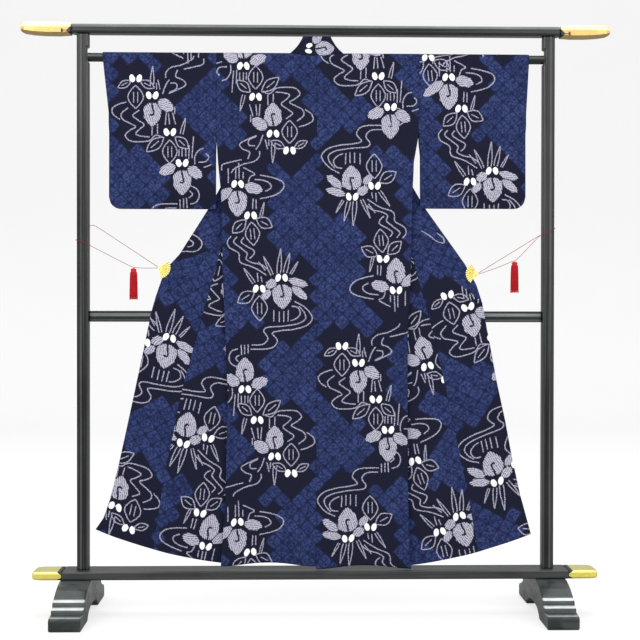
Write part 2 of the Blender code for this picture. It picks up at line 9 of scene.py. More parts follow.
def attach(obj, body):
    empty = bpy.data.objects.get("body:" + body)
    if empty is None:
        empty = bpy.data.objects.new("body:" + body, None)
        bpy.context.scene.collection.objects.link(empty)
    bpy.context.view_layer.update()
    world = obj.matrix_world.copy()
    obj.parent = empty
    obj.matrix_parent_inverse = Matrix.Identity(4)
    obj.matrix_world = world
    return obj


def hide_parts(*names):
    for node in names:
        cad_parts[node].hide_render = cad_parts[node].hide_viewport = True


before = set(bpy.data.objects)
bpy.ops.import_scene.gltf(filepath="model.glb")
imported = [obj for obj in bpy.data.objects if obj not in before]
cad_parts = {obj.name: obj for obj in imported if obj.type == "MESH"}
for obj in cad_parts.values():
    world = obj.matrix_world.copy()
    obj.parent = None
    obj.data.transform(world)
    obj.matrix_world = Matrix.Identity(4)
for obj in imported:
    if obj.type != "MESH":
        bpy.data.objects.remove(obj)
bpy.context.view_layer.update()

# Cotton yukata on its lacquered stand, back to the viewer
# Metres, +Z up; the cloth repeats the drape of the source, with more rows

# sizes that the source also has
stand = {
    "floorToRod": 1.722,
    "rodRadius": 0.0138,
    "postCentre": 0.721,
    "postSize": 0.036,
    "topBarHalf": 0.757,
    "plankHalf": 0.782,
}

cloth = {
    "wall": 0.0012,
    "seamGap": 0.0003,
    "seamLap": 0.0002,  # how far two shells run together at a seam
    "rodClear": 0.0009,
    "neckHalf": 0.083,
    "neckAngle": 68.0,
    "frontWidth": 0.250,
    "sleeveJoin": 0.230,
    "sideOpen": 0.380,
    "cuffOpen": 0.230,
    "sleeveCorner": 0.037,
    "collarNape": 0.058,
    "collarEnd": 0.075,
    "collarStop": 0.740,
    "collarTip": 0.860,
    "foldRadius": 0.0040,
    "foldLap": 0.0186,
    "foldIn": 0.012,  # foot of the fronts' fold, inside the side seam
    "waveDepth": 0.0045,
    "wavePitch": 0.155,
    "grid": 0.0050,  # size of a mesh face on the cloth
}

# height, back layer, front layer
layerDepth = [
    (0.15, -0.0215, -0.0125),
    (0.95, -0.0195, -0.0120),
    (1.25, -0.0170, 0.0020),
    (1.50, -0.0165, 0.0095),
    (1.722, -0.0159, 0.0159),
]

# height, half width at the left, half width at the right
sideEdges = [
    (0.150, 0.2955, 0.2945),
    (0.345, 0.2816, 0.2860),
    (0.673, 0.2738, 0.2830),
    (0.850, 0.2816, 0.2830),
    (1.080, 0.2910, 0.2936),
    (1.300, 0.2955, 0.2980),
    (1.400, 0.3050, 0.3010),
    (1.480, 0.3100, 0.3150),
    (1.740, 0.3100, 0.3180),
]

# outer edge of the opened fronts: distance from the middle, height
wingEdges = {
    "left": [
        (0.175, 1.700), (0.178, 1.620), (0.222, 1.460), (0.336, 1.256), (0.424, 1.115),
        (0.469, 1.066), (0.497, 0.985), (0.511, 0.936), (0.537, 0.810), (0.5625, 0.690),
        (0.588, 0.571), (0.613, 0.456), (0.638, 0.3555), (0.658, 0.298), (0.683, 0.2625),
    ],
    "right": [
        (0.175, 1.700), (0.178, 1.620), (0.222, 1.460), (0.340, 1.258), (0.415, 1.153),
        (0.463, 1.085), (0.497, 1.0235), (0.516, 0.967), (0.5255, 0.917), (0.541, 0.835),
        (0.5635, 0.716), (0.5885, 0.602), (0.611, 0.482), (0.636, 0.368), (0.670, 0.245),
    ],
}

sleeveEdges = {
    "left": {"outerTop": 0.660, "outerLow": 0.641, "innerLow": 0.3115, "bottom": 1.2535},
    "right": {"outerTop": 0.659, "outerLow": 0.650, "innerLow": 0.3215, "bottom": 1.2575},
}

hem = {"left": 0.155, "right": 0.146, "bow": 0.012}
sides = {"left": -1.0, "right": 1.0}
ring = stand["rodRadius"] + cloth["rodClear"] + cloth["wall"]
quarter = ring * math.pi / 2
ridge = stand["floorToRod"] + ring


# the drape: v runs down the cloth from the shoulder, d outwards from the middle
def smooth(value):
    value = np.clip(value, 0.0, 1.0)
    return value * value * (3.0 - 2.0 * value)


def column(table, key, col):
    rows = np.array(table)
    return np.interp(key, rows[:, 0], rows[:, col])


def hemLength(side):
    return quarter + stand["floorToRod"] - hem[side]


def sideEdge(side, z):
    return column(sideEdges, z, 1 if side == "left" else 2)


def rowHeight(v):
    return stand["floorToRod"] - np.maximum(v - quarter, 0)


def wave(d, z):
    fade = smooth((1.25 - z) / 1.0)
    return -cloth["waveDepth"] * fade * (0.5 + 0.5 * np.sin(2 * math.pi * d / cloth["wavePitch"] + 1.2))


def depthOf(z, layer, d, edgeGap, closing):
    back = column(layerDepth, z, 1)
    front = column(layerDepth, z, 2)
    middle = (back + front) / 2
    half = (front - back) / 2
    least = (cloth["wall"] + cloth["seamGap"]) / 2
    spread = least + (half - least) * (1 - closing * (1 - smooth(edgeGap / 0.035)))
    return middle + layer * spread + wave(d, z)


def hang(v, layer, d, edgeGap, closing):
    angle = np.minimum(v / ring, math.pi / 2)
    z = np.where(v < quarter, stand["floorToRod"] + ring * np.cos(angle), stand["floorToRod"] - (v - quarter))
    y = np.where(v < quarter, layer * ring * np.sin(angle), depthOf(z, layer, d, edgeGap, closing))
    return y, z


def sideClosing(v):
    return smooth((v - cloth["sideOpen"]) / 0.05)


def backPoint(side, d, v):
    y, z = hang(v, -1.0, d, sideEdge(side, rowHeight(v)) - d, sideClosing(v))
    lift = 0.006 * np.cos(2 * math.pi * (d / 0.30)) * smooth((v - 1.2) / 0.38)
    return np.stack([sides[side] * d, y, z - lift], -1)


def frontPoint(side, d, v):
    y, z = hang(v, 1.0, d, sideEdge(side, rowHeight(v)) - d, sideClosing(v))
    return np.stack([sides[side] * d, y, z], -1)


def crease(side, v):
    top = cloth["neckHalf"] + cloth["foldLap"]
    low = sideEdge(side, hem[side]) - cloth["foldIn"]
    return top + (low - top) * v / hemLength(side)


def wingTarget(side, v):
    edge = np.array(wingEdges[side])
    steps = np.hypot(np.diff(edge[:, 0]), np.diff(edge[:, 1]))
    fromTop = hemLength(side) - (steps.sum() - np.concatenate([[0], np.cumsum(steps)]))
    return np.interp(v, fromTop, edge[:, 0]), np.interp(v, fromTop, edge[:, 1])


# the front turns outwards below the neck, from 0 to 1
def opened(v):
    return smooth((v - 0.12) / 0.25)


def wingWidth(side, v):
    d, z = wingTarget(side, v)
    reach = np.hypot(d - crease(side, v), z - rowHeight(v))
    least = cloth["foldLap"] + cloth["collarNape"]
    return np.maximum(least, least + (reach - least) * opened(v))


def collarWidth(v):
    grown = cloth["collarNape"] + (cloth["collarEnd"] - cloth["collarNape"]) * np.clip(v, 0, None) / 0.8
    left = (cloth["collarTip"] - v) / (cloth["collarTip"] - cloth["collarStop"])
    return grown * np.clip(left, 0, 1)


def collarSeam(side, v):
    return wingWidth(side, v) - collarWidth(v)


def okumiSeam(side, v):
    return cloth["frontWidth"] - (sideEdge(side, rowHeight(v)) - crease(side, v))


def wingPoint(side, q, v):
    low = sideEdge(side, hem[side]) - cloth["foldIn"]
    lean = math.atan((low - cloth["neckHalf"] - cloth["foldLap"]) / hemLength(side))
    lean = lean * smooth((v - quarter) / 0.10)
    turn = math.pi * smooth((v - 0.02) / 0.12)
    radius = cloth["foldRadius"]

    def folded(length):
        across = length * np.cos(lean)
        bend = np.minimum(across / radius, turn)
        inward = radius * np.sin(bend) + (across - radius * bend) * np.cos(turn)
        away = radius * (1 - np.cos(bend)) + (across - radius * bend) * np.sin(turn)
        along = length * np.sin(lean)
        d = crease(side, v) - inward * np.cos(lean) - along * np.sin(lean)
        return d, away, -inward * np.sin(lean) + along * np.cos(lean)

    at = crease(side, v)
    y, z = hang(v, 1.0, at, sideEdge(side, rowHeight(v)) - at, sideClosing(v))
    d, away, dz = folded(q)
    full = wingWidth(side, v)
    dFull, _, dzFull = folded(full)
    dWant, zWant = wingTarget(side, v)
    share = np.clip((q - math.pi * radius) / np.maximum(full - math.pi * radius, 0.001), 0, 1)
    pull = share ** 2 * opened(v)
    bow = hem["bow"] * 4 * share * (1 - share) * smooth((v - 1.1) / 0.48)
    d = d + (dWant - dFull) * pull
    z = z + dz + (zWant - z - dzFull) * pull - bow
    drift = wave(d, z) - wave(at, z)
    return np.stack([sides[side] * d, y + away + drift * share, z], -1)


# direction of the collar's width: length from the shoulder, d, y, z
collarLean = [
    (-0.100, 0.00, -0.03, 1.00),
    (-0.050, -0.30, -0.02, 0.95),
    (0.000, -0.82, 0.05, 0.57),
    (0.030, -0.60, 0.75, 0.28),
    (0.070, -0.10, 0.99, 0.15),
    (0.110, 0.50, 0.86, 0.15),
    (0.160, 0.90, 0.40, 0.22),
    (0.220, 0.95, 0.00, 0.31),
]


# v under zero is degrees round the neck, from the shoulder to the nape
def collarPoint(side, share, v):
    gap = -cloth["seamLap"] / 2
    lean = np.array([float(column(collarLean, v if v > 0 else v / 900, c)) for c in (1, 2, 3)])
    lean /= np.linalg.norm(lean)
    flat = None
    if v < 0:
        along = math.radians(-v)
        angle = math.radians(cloth["neckAngle"]) * math.sin(along)
        d = max(cloth["neckHalf"] * math.cos(along), gap)
        seam = np.array([d, -ring * math.sin(angle), stand["floorToRod"] + ring * math.cos(angle)])
        width = cloth["collarNape"]
    else:
        q = float(collarSeam(side, v)) + gap
        width = float(collarWidth(v)) - gap
        seam = wingPoint(side, q, v) * (sides[side], 1, 1)
        flat = wingPoint(side, q + width * share, v) * (sides[side], 1, 1)
    clear = 0.0007 * (1 - float(smooth((v - 0.16) / 0.06)))
    point = seam + lean * (width * share + clear)
    if flat is not None:
        point = point + (flat - point) * float(smooth((v - 0.10) / 0.12))
    return point * (sides[side], 1, 1)


# one socket of a node tree; sums and products of flows add Math nodes
class Flow:
    def __init__(self, tree, socket):
        self.tree = tree
        self.socket = socket

    def maths(self, operation, *others):
        values = dict(enumerate((self,) + others))
        return made(self.tree, "ShaderNodeMath", {"operation": operation}, values)

    def __add__(self, other):
        return self.maths("ADD", other)

    __radd__ = __add__

    def __mul__(self, other):
        return self.maths("MULTIPLY", other)

    __rmul__ = __mul__

    def __sub__(self, other):
        return self.maths("SUBTRACT", other)

    def __rsub__(self, other):
        return made(self.tree, "ShaderNodeMath", {"operation": "SUBTRACT"}, {0: other, 1: self})

    def __truediv__(self, other):
        return self.maths("DIVIDE", other)


# a node of any type: its settings first, then its sockets by name or number
def made(tree, kind, settings=None, sockets=None, out=0):
    node = tree.nodes.new(kind)
    for key, value in (settings or {}).items():
        setattr(node, key, value)
    for key, value in (sockets or {}).items():
        slot = node.inputs[key]
        if isinstance(value, Flow):
            tree.links.new(value.socket, slot)
        elif slot.type == "RGBA" and len(value) == 3:
            slot.default_value = (*value, 1.0)
        else:
            slot.default_value = value
    return Flow(tree, node.outputs[out]) if len(node.outputs) else node


# the three parts of a vector
def split(vector):
    node = made(vector.tree, "ShaderNodeSeparateXYZ", {}, {0: vector}).socket.node
    return [Flow(vector.tree, socket) for socket in node.outputs]


# a value kept on the mesh: output 1 for three numbers, 2 for one
def kept(tree, name, out):
    settings = {"attribute_type": "GEOMETRY", "attribute_name": name}
    return made(tree, "ShaderNodeAttribute", settings, {}, out)


def objectPlace(tree):
    return made(tree, "ShaderNodeTexCoord", {}, {}, 3)


def newMaterial(name):
    look = bpy.data.materials.new(name)
    look.use_nodes = True
    look.node_tree.nodes.clear()
    return look, look.node_tree


def noise(tree, where, scale, detail, rough=0.5):
    sockets = {"Vector": where, "Scale": scale, "Detail": detail, "Roughness": rough}
    return made(tree, "ShaderNodeTexNoise", {}, sockets)


def step(value, low, high):
    sockets = {0: value, 1: low, 2: high, 3: 0.0, 4: 1.0}
    return made(value.tree, "ShaderNodeMapRange", {"interpolation_type": "SMOOTHSTEP"}, sockets)


def tint(tree, share, under, over):
    return made(tree, "ShaderNodeMix", {"data_type": "RGBA"}, {0: share, 6: under, 7: over}, 2)


# bump: height, strength, distance
def finishShader(look, tree, colour, rough, bump, settings):
    sockets = {"Base Color": colour, "Roughness": rough, **settings}
    if bump is not None:
        values = dict(zip(("Height", "Strength", "Distance"), bump))
        sockets["Normal"] = made(tree, "ShaderNodeBump", {}, values)
    surface = made(tree, "ShaderNodeBsdfPrincipled", {}, sockets)
    made(tree, "ShaderNodeOutputMaterial", {}, {"Surface": surface})
    return look


dye = {
    "cell": 0.0372,  # side of one tied cell, on the diagonal
    "night": (0.0100, 0.0115, 0.0260),
    "nightWorn": (0.0160, 0.0150, 0.0320),
    "grout": (0.0105, 0.0150, 0.0480),
    "stroke": (0.0100, 0.0140, 0.0450),
    "blue": (0.0235, 0.0370, 0.1200),
    "paleBlue": (0.0450, 0.0650, 0.1900),
    "chalk": (0.410, 0.400, 0.500),
    "chalkWorn": (0.130, 0.125, 0.220),
    "petal": (0.480, 0.470, 0.560),
    "petalLow": (0.105, 0.100, 0.165),
    "hatch": 0.0029,  # half the pitch of the petals' hatching
    "bud": (0.90, 0.90, 0.92),
}


def cottonMaterial():
    look, tree = newMaterial("dyedCotton")
    lay = made(tree, "ShaderNodeUVMap", {"uv_map": "clothLay"})
    u, v, _ = split(lay)
    root = 1 / math.sqrt(2) / dye["cell"]
    wobble = noise(tree, lay, 30.0, 1.0)
    a = (u + v) * root + (wobble - 0.5) * 0.22
    b = (v - u) * root + (wobble - 0.5) * -0.16
    cellA = a.maths("FLOOR")
    cellB = b.maths("FLOOR")
    offA = a - cellA - 0.5
    offB = b - cellB - 0.5
    inA = offA.maths("ABSOLUTE")
    inB = offB.maths("ABSOLUTE")
    cellId = made(tree, "ShaderNodeCombineXYZ", {}, {0: cellA, 1: cellB, 2: 0.3})
    chance = made(tree, "ShaderNodeTexWhiteNoise", {"noise_dimensions": "3D"}, {"Vector": cellId})
    # rounded square in each cell, dark strokes that run out from its middle
    round4 = (inA.maths("POWER", 4.0) + inB.maths("POWER", 4.0)).maths("POWER", 0.25)
    pucker = noise(tree, lay, 420.0, 3.0, 0.65)
    cell = 1 - step(round4 + (pucker - 0.5) * 0.22, 0.41, 0.50)
    away = (inA * inA + inB * inB).maths("SQRT").maths("MAXIMUM", 0.02)
    toward = made(tree, "ShaderNodeCombineXYZ", {}, {
        0: offA / away * 1.9 + cellA * 3.7, 1: offB / away * 1.9 + cellB * 5.1, 2: chance * 9.0 + away * 3.0})
    hollow = step(away + (pucker - 0.5) * 0.2, 0.02, 0.08)
    rays = step(noise(tree, toward, 1.0, 2.0, 0.5), 0.46, 0.56) * hollow
    rays = rays * (1 - step(away, 0.30, 0.52) * 0.7)
    centre = 1 - step(away + (pucker - 0.5) * 0.20, 0.03, 0.10)
    mottle = noise(tree, lay, 190.0, 4.0, 0.6)
    blots = step(noise(tree, lay, 130.0, 3.0, 0.6), 0.54, 0.64)
    light = step(mottle, 0.30, 0.72) * 0.60 + chance * 0.40
    shade = tint(tree, light, dye["blue"], dye["paleBlue"])
    dark = (rays * 0.85).maths("MAXIMUM", blots * 0.70)
    shade = tint(tree, (centre * 0.80).maths("MAXIMUM", dark), shade, dye["stroke"])
    shade = tint(tree, cell * 0.82 + chance * 0.18, dye["grout"], shade)

    band, fill, bud = split(kept(tree, "dyeMarks", 1))
    night = tint(tree, step(mottle, 0.35, 0.8) * 0.6, dye["night"], dye["nightWorn"])
    shade = tint(tree, band, shade, night)

    # hatching of the petals, nearly along each, also breaks their edges
    slant = kept(tree, "dyeHatch", 2) + (pucker - 0.5) * 0.0036 + (wobble - 0.5) * 0.010
    pitch = dye["hatch"]
    rows = made(tree, "ShaderNodeMath", {"operation": "PINGPONG"}, {0: slant, 1: pitch}) / pitch
    hatch = step(rows + (noise(tree, lay, 260.0, 2.0, 0.5) - 0.5) * 2.6, 0.12, 0.50)
    petal = tint(tree, hatch, dye["petalLow"], dye["petal"])
    edge = fill + (rows - 0.5) * 2.6 + (pucker - 0.5) * 2.4
    shade = tint(tree, step(edge, -0.35, 0.35), shade, petal)

    # drawn lines: distance over half width, distance inside the ends, kind
    ragged = noise(tree, lay, 330.0, 2.5, 0.6)
    for name in ("dyeLineA", "dyeLineB"):
        aside, inside, kind = split(kept(tree, name, 1))
        width = aside.maths("ABSOLUTE") + (ragged - 0.5) * 3.0
        drawn = (1 - step(width, 0.72, 1.12)) * step(inside, -0.4, 0.4)
        chalk = tint(tree, step(ragged + (pucker - 0.5) * 0.3, 0.66, 0.42), dye["chalkWorn"], dye["chalk"])
        ink = tint(tree, kind, night, chalk)
        shade = tint(tree, drawn, shade, ink)
    shade = tint(tree, step(bud + (pucker - 0.5) * 2.6, -0.25, 0.25), shade, dye["bud"])

    weave = noise(tree, lay, 1500.0, 2.0, 0.6)
    height = cell * 0.5 * (1 - band) + pucker * 0.5 + weave * 0.18
    bump = (height, 0.55, 0.0009)
    return finishShader(look, tree, shade, 0.90 - 0.06 * mottle, bump, {"Specular IOR Level": 0.06})


# the pattern is drawn in millimetres, from each group's main pair of buds

# petals: degrees from straight down towards +u, start, tip, width
petalSets = {
    "turnIris": [(0, 24, 98, 56), (54, 24, 74, 36), (-66, 24, 76, 36)],
    "fullIris": [(0, 22, 100, 58), (-53, 24, 97, 32), (75, 24, 79, 36)],
    "halfIris": [(0, 24, 95, 54), (54, 26, 78, 38)],
    "openIris": [(6, 20, 93, 44), (-46, 20, 78, 34), (62, 20, 76, 34)],
    "upIris": [(0, 24, 96, 45), (49, 22, 77, 30), (-50, 24, 94, 32)],
    "smallIris": [(0, 22, 93, 48), (63, 16, 65, 24), (-62, 16, 62, 22)],
    "greatIris": [
        (2, 22, 96, 60), (74, 24, 84, 26), (50, 44, 102, 27), (-60, 20, 56, 30), (-42, 54, 90, 26),
    ],
    "sideIris": [(-57, 18, 80, 36), (1, 22, 99, 48)],
}

# outline of a filled petal: share of its length, share of its half width
petalShape = {
    "middle": [(0, 0.35), (0.15, 0.90), (0.30, 1.0), (0.65, 0.90), (0.85, 0.50), (1, 0.12)],
    "side": [(0, 0.40), (0.30, 1.0), (0.75, 0.85), (1, 0.15)],
    # dark hook in the middle petal: millimetres along it and across it
    "hook": [(-2, 1), (12, 0), (26, -4), (35, -4), (37, 3), (34, 7)],
    "broad": 45,  # a filled petal wider than this is a middle one, with a hook
    "twoVeins": 38,  # an outlined petal wider than this has two veins
    "budApart": 10.8,
    "budHalf": (0.0082, 0.0125),
    "budTilt": 0.28,
}

groupOne = {
    # flowers: set, u, v, turned over, filled
    "flowers": [
        ("turnIris", 0, 0, True, True), ("upIris", 38, 95, True, False),
        ("halfIris", 92, 208, True, True), ("smallIris", 143, 260, True, False),
    ],
    "streams": [
        [(61, 80), (82, 85), (100, 69), (132, 65), (161, 68), (175, 85), (159, 101), (143, 111),
         (163, 123), (182, 133), (187, 151), (166, 169)],
        [(100, 80), (125, 82), (143, 89), (132, 103), (117, 117), (136, 132), (152, 146), (132, 162)],
        [(191, 133), (211, 148), (215, 167), (195, 180), (172, 187)],
        [(41, 214), (14, 226), (-11, 241), (0, 257), (20, 266), (14, 287)],
        [(40, 217), (18, 228), (18, 244), (36, 246)],
        [(61, 212), (50, 241), (39, 257)],
        [(50, 262), (50, 278), (34, 294), (0, 303), (-30, 319), (-36, 330)],
        [(-5, 289), (-36, 296), (-64, 305), (-66, 322)],
        [(-50, 3), (-73, 5), (-82, 19), (-73, 30)],
        [(-39, -4), (-39, 19), (-50, 39), (-66, 46)],
    ],
    "strokes": [
        [(-30, 15), (-35, 82)], [(-20, 12), (-22, 55)], [(-11, 20), (-11, 44)],
        [(0, 20), (0, 44)], [(10, 20), (9, 42)], [(20, 119), (30, 155)],
        [(23, 151), (23, 173)], [(39, 119), (42, 152)], [(52, 117), (49, 155)],
        [(76, 89), (76, 121)], [(93, 85), (92, 110)], [(68, 226), (75, 256)], [(79, 226), (79, 246)],
        [(-90, -5), (-66, -13)],
    ],
    "leaves": [((2, 89), (-10, 139), 10), ((93, 237), (91, 298), 12)],
    # dark ground: from, to, radius
    "bands": [
        ((-40, -80), (-10, 0), 66), ((-10, 0), (50, 90), 70), ((50, 90), (150, 90), 48),
        ((60, 100), (95, 200), 70), ((150, 120), (185, 170), 46), ((100, 200), (150, 255), 66),
        ((95, 230), (40, 250), 58), ((40, 250), (-20, 310), 52), ((-20, 310), (-40, 380), 40),
    ],
}

groupTwo = {
    "flowers": [
        ("fullIris", -136, -289, False, True), ("openIris", -96, -192, False, False),
        ("greatIris", 0, 0, False, True), ("sideIris", -69, 34, False, False),
    ],
    "streams": [
        [(-119, -340), (-99, -330), (-83, -319), (-97, -312), (-103, -294)],
        [(-67, -317), (-31, -310), (-1, -299), (7, -282), (-8, -262), (-35, -251), (-67, -244)],
        [(-83, -303), (-58, -301), (-38, -292), (-33, -278), (-51, -267)],
        [(-156, -128), (-167, -113), (-162, -94), (-133, -76), (-131, -56), (-122, -44), (-85, -31),
         (-47, -8)],
        [(-138, -126), (-148, -110), (-124, -90), (-106, -74), (-110, -58), (-92, -47), (-63, -40),
         (-40, -24)],
        [(-117, -124), (-125, -110), (-108, -97), (-85, -83), (-88, -69), (-99, -60)],
        [(40, 73), (73, 92), (95, 123), (78, 147), (40, 159), (2, 163), (-28, 170), (-21, 182),
         (-13, 194), (-21, 211), (-45, 220), (-95, 221)],
        [(54, 88), (71, 109), (73, 128), (50, 142), (7, 149), (-45, 154), (-55, 166), (-45, 180),
         (-43, 192), (-59, 206), (-92, 208)],
        [(31, 88), (50, 92), (58, 111), (45, 126), (28, 133)],
        [(-135, 220), (-154, 227), (-162, 246), (-156, 265), (-135, 277)],
        [(-130, 239), (-142, 249), (-133, 260)],
    ],
    "strokes": [
        [(-165, -337), (-165, -292)], [(-142, -342), (-142, -305)], [(-133, -355), (-131, -305)],
        [(-119, -326), (-119, -305)], [(-88, -244), (-90, -212)], [(-79, -242), (-79, -212)],
        [(-72, -50), (-50, -22)],
        [(-75, -15), (-73, 12)], [(-64, -4), (-60, 14)],
        [(-24, 100), (-24, 135)], [(-7, 104), (-7, 137)], [(7, 104), (7, 137)], [(21, 100), (20, 135)],
        [(-125, 208), (-123, 239)], [(-114, 208), (-114, 237)], [(-103, 206), (-103, 234)],
    ],
    "leaves": [
        ((-65, -187), (-54, -233), 8), ((-29, -8), (-56, -66), 10), ((-9, -13), (-3, -90), 14),
        ((10, -15), (25, -76), 13), ((28, -11), (51, -50), 7), ((-85, 17), (-117, -29), 10),
    ],
    "bands": [
        ((-150, -350), (-140, -280), 62), ((-110, -290), (-50, -282), 56), ((-130, -280), (-100, -180), 66),
        ((-120, -130), (-110, -80), 52), ((-100, -60), (-20, -30), 62), ((-70, 20), (20, 10), 76),
        ((-40, 90), (50, 110), 54), ((40, 150), (-60, 190), 40), ((-60, 190), (-130, 240), 48),
    ],
}
groups = {"one": groupOne, "two": groupTwo}


# half widths of the drawn lines in millimetres
pen = {"edge": 1.3, "hook": 3.0, "outline": 1.75, "vein": 1.5, "stream": 1.8, "stroke": 1.7, "leaf": 1.6}


# a smooth line through the points, resampled evenly
def softCurve(points, spacing=1.5):
    p = np.array(points, float)
    if len(p) > 2:
        ends = np.vstack([2 * p[0] - p[1], p, 2 * p[-1] - p[-2]])
        t = np.linspace(0, 1, 12, endpoint=False)[:, None]
        parts = []
        for i in range(1, len(ends) - 2):
            p0, p1, p2, p3 = ends[i - 1:i + 3]
            bend = 2 * p1 + (p2 - p0) * t + (2 * p0 - 5 * p1 + 4 * p2 - p3) * t ** 2
            parts.append(0.5 * (bend + (3 * p1 - p0 - 3 * p2 + p3) * t ** 3))
        p = np.vstack(parts + [p[-1:]])
    run = np.concatenate([[0], np.cumsum(np.hypot(*np.diff(p, axis=0).T))])
    at = np.linspace(0, run[-1], max(int(run[-1] / spacing), 2) + 1)
    return np.column_stack([np.interp(at, run, p[:, 0]), np.interp(at, run, p[:, 1])])


# both sides of a shape from foot to tip, with its half width at each share of the length
def sidesOf(foot, tip, shares, half):
    foot, tip = np.array(foot, float), np.array(tip, float)
    axis = tip - foot
    across = np.array([-axis[1], axis[0]]) / np.hypot(*axis)
    spine = foot + axis * shares[:, None]
    return spine + across * half[:, None], spine - across * half[:, None]


def leafSides(foot, tip, width):
    t = np.linspace(0, 1, 22)
    return sidesOf(foot, tip, t, (1 - np.abs(2 * t - 1) ** 1.7) * width / 2)


# a pointed leaf of the fans, open at its foot
def wedgeSides(foot, tip, width):
    t = np.linspace(0, 1, 16)
    return sidesOf(foot, tip, t, width / 2 * (1 - t) ** 0.7 * (0.75 + 0.5 * np.sin(np.pi * t)))


def petalSides(foot, tip, width, shape):
    profile = np.array(petalShape[shape])
    return sidesOf(foot, tip, profile[:, 0], profile[:, 1] * width / 2)


# collects what is dyed on one length of cloth, in metres on the cloth
class Drawing:
    def __init__(self):
        self.lines = []
        self.fills = []
        self.buds = []
        self.bands = []

    # kind is 1 for chalk and 0 for the dark ground's colour
    def line(self, points, place, width, kind=1.0):
        self.lines.append((place(softCurve(points)), pen[width] / 1000, kind))

    def flower(self, name, at, upward, filled, place, lying=False):
        flip = -1 if upward else 1
        at = np.array(at, float)
        for n, (angle, start, tip, width) in enumerate(petalSets[name]):
            way = np.array([math.sin(math.radians(angle)), math.cos(math.radians(angle))]) * flip
            foot, end = at + way * start, at + way * tip
            across = np.array([-way[1], way[0]])
            if filled:
                broad = width > petalShape["broad"]
                one, two = petalSides(foot, end, width, "middle" if broad else "side")
                self.fills.append((place(np.vstack([one, two[::-1]])), place(foot), place(end)))
                if n:
                    self.line(one[:-1], place, "edge", 0.0)
                    self.line(two[:-1], place, "edge", 0.0)
                if broad:
                    hook = [foot + way * along + across * off for along, off in petalShape["hook"]]
                    self.line(hook, place, "hook", 0.0)
            else:
                one, two = leafSides(foot, end, width)
                self.line(one, place, "outline")
                self.line(two, place, "outline")
                length = tip - start
                for off in (-0.13, 0.13) if width > petalShape["twoVeins"] else (0.02,):
                    shift = across * (width * off)
                    vein = [foot + way * length * share + shift for share in (0.28, 0.74)]
                    self.line(vein, place, "vein")
        for x in (-petalShape["budApart"], petalShape["budApart"]):
            tilt = math.copysign(petalShape["budTilt"], x)
            halfU, halfV = petalShape["budHalf"]
            if lying:
                halfU, halfV = halfV, halfU
            self.buds.append((place(at + np.array([x, 0.0])), halfU, halfV, tilt))

    def single(self, name, anchor, upward, filled, lying=False):
        def place(points):
            points = np.array(points)
            if lying:
                points = np.stack([points[..., 1], -points[..., 0]], -1)
            return np.array(anchor) + points / 1000

        self.flower(name, (0, 0), upward, filled, place, lying)

    # loose strokes given in metres on the cloth
    def free(self, points):
        self.lines.append((softCurve(points, 0.0015), pen["stream"] / 1000, 1.0))

    def group(self, name, anchor, turned):
        sign = -1.0 if turned else 1.0
        parts = groups[name]

        def place(points):
            return np.array(anchor) + np.array(points) * sign / 1000

        for flower, u, v, upward, filled in parts["flowers"]:
            self.flower(flower, (u, v), upward, filled, place)
        for stream in parts["streams"]:
            self.line(stream, place, "stream")
        for stroke in parts["strokes"]:
            self.line(stroke, place, "stroke")
        for foot, tip, width in parts["leaves"]:
            for edge in wedgeSides(foot, tip, width):
                self.line(edge, place, "leaf")
        for start, end, radius in parts["bands"]:
            self.bands.append((place(np.array(start, float)), place(np.array(end, float)), radius / 1000))


# which spots lie in the box round the points
def inBox(spots, points, margin):
    inside = (spots > points.min(0) - margin) & (spots < points.max(0) + margin)
    return np.nonzero(inside.all(1))[0]


# distance to the nearest band of dark ground, under zero inside it
def toBand(points, bands):
    best = np.full(len(points), far)
    for start, end, radius in bands:
        run = end - start
        share = np.clip(((points - start) @ run) / (run @ run), 0, 1)
        away = np.hypot(*(points - start - share[:, None] * run).T) - radius
        best = np.minimum(best, away)
    return best


# how far round a line, a petal and a bud the mesh keeps its values, in metres
keepWithin = {"line": 0.0075, "fill": 0.012, "bud": 0.03}
far = 9.0


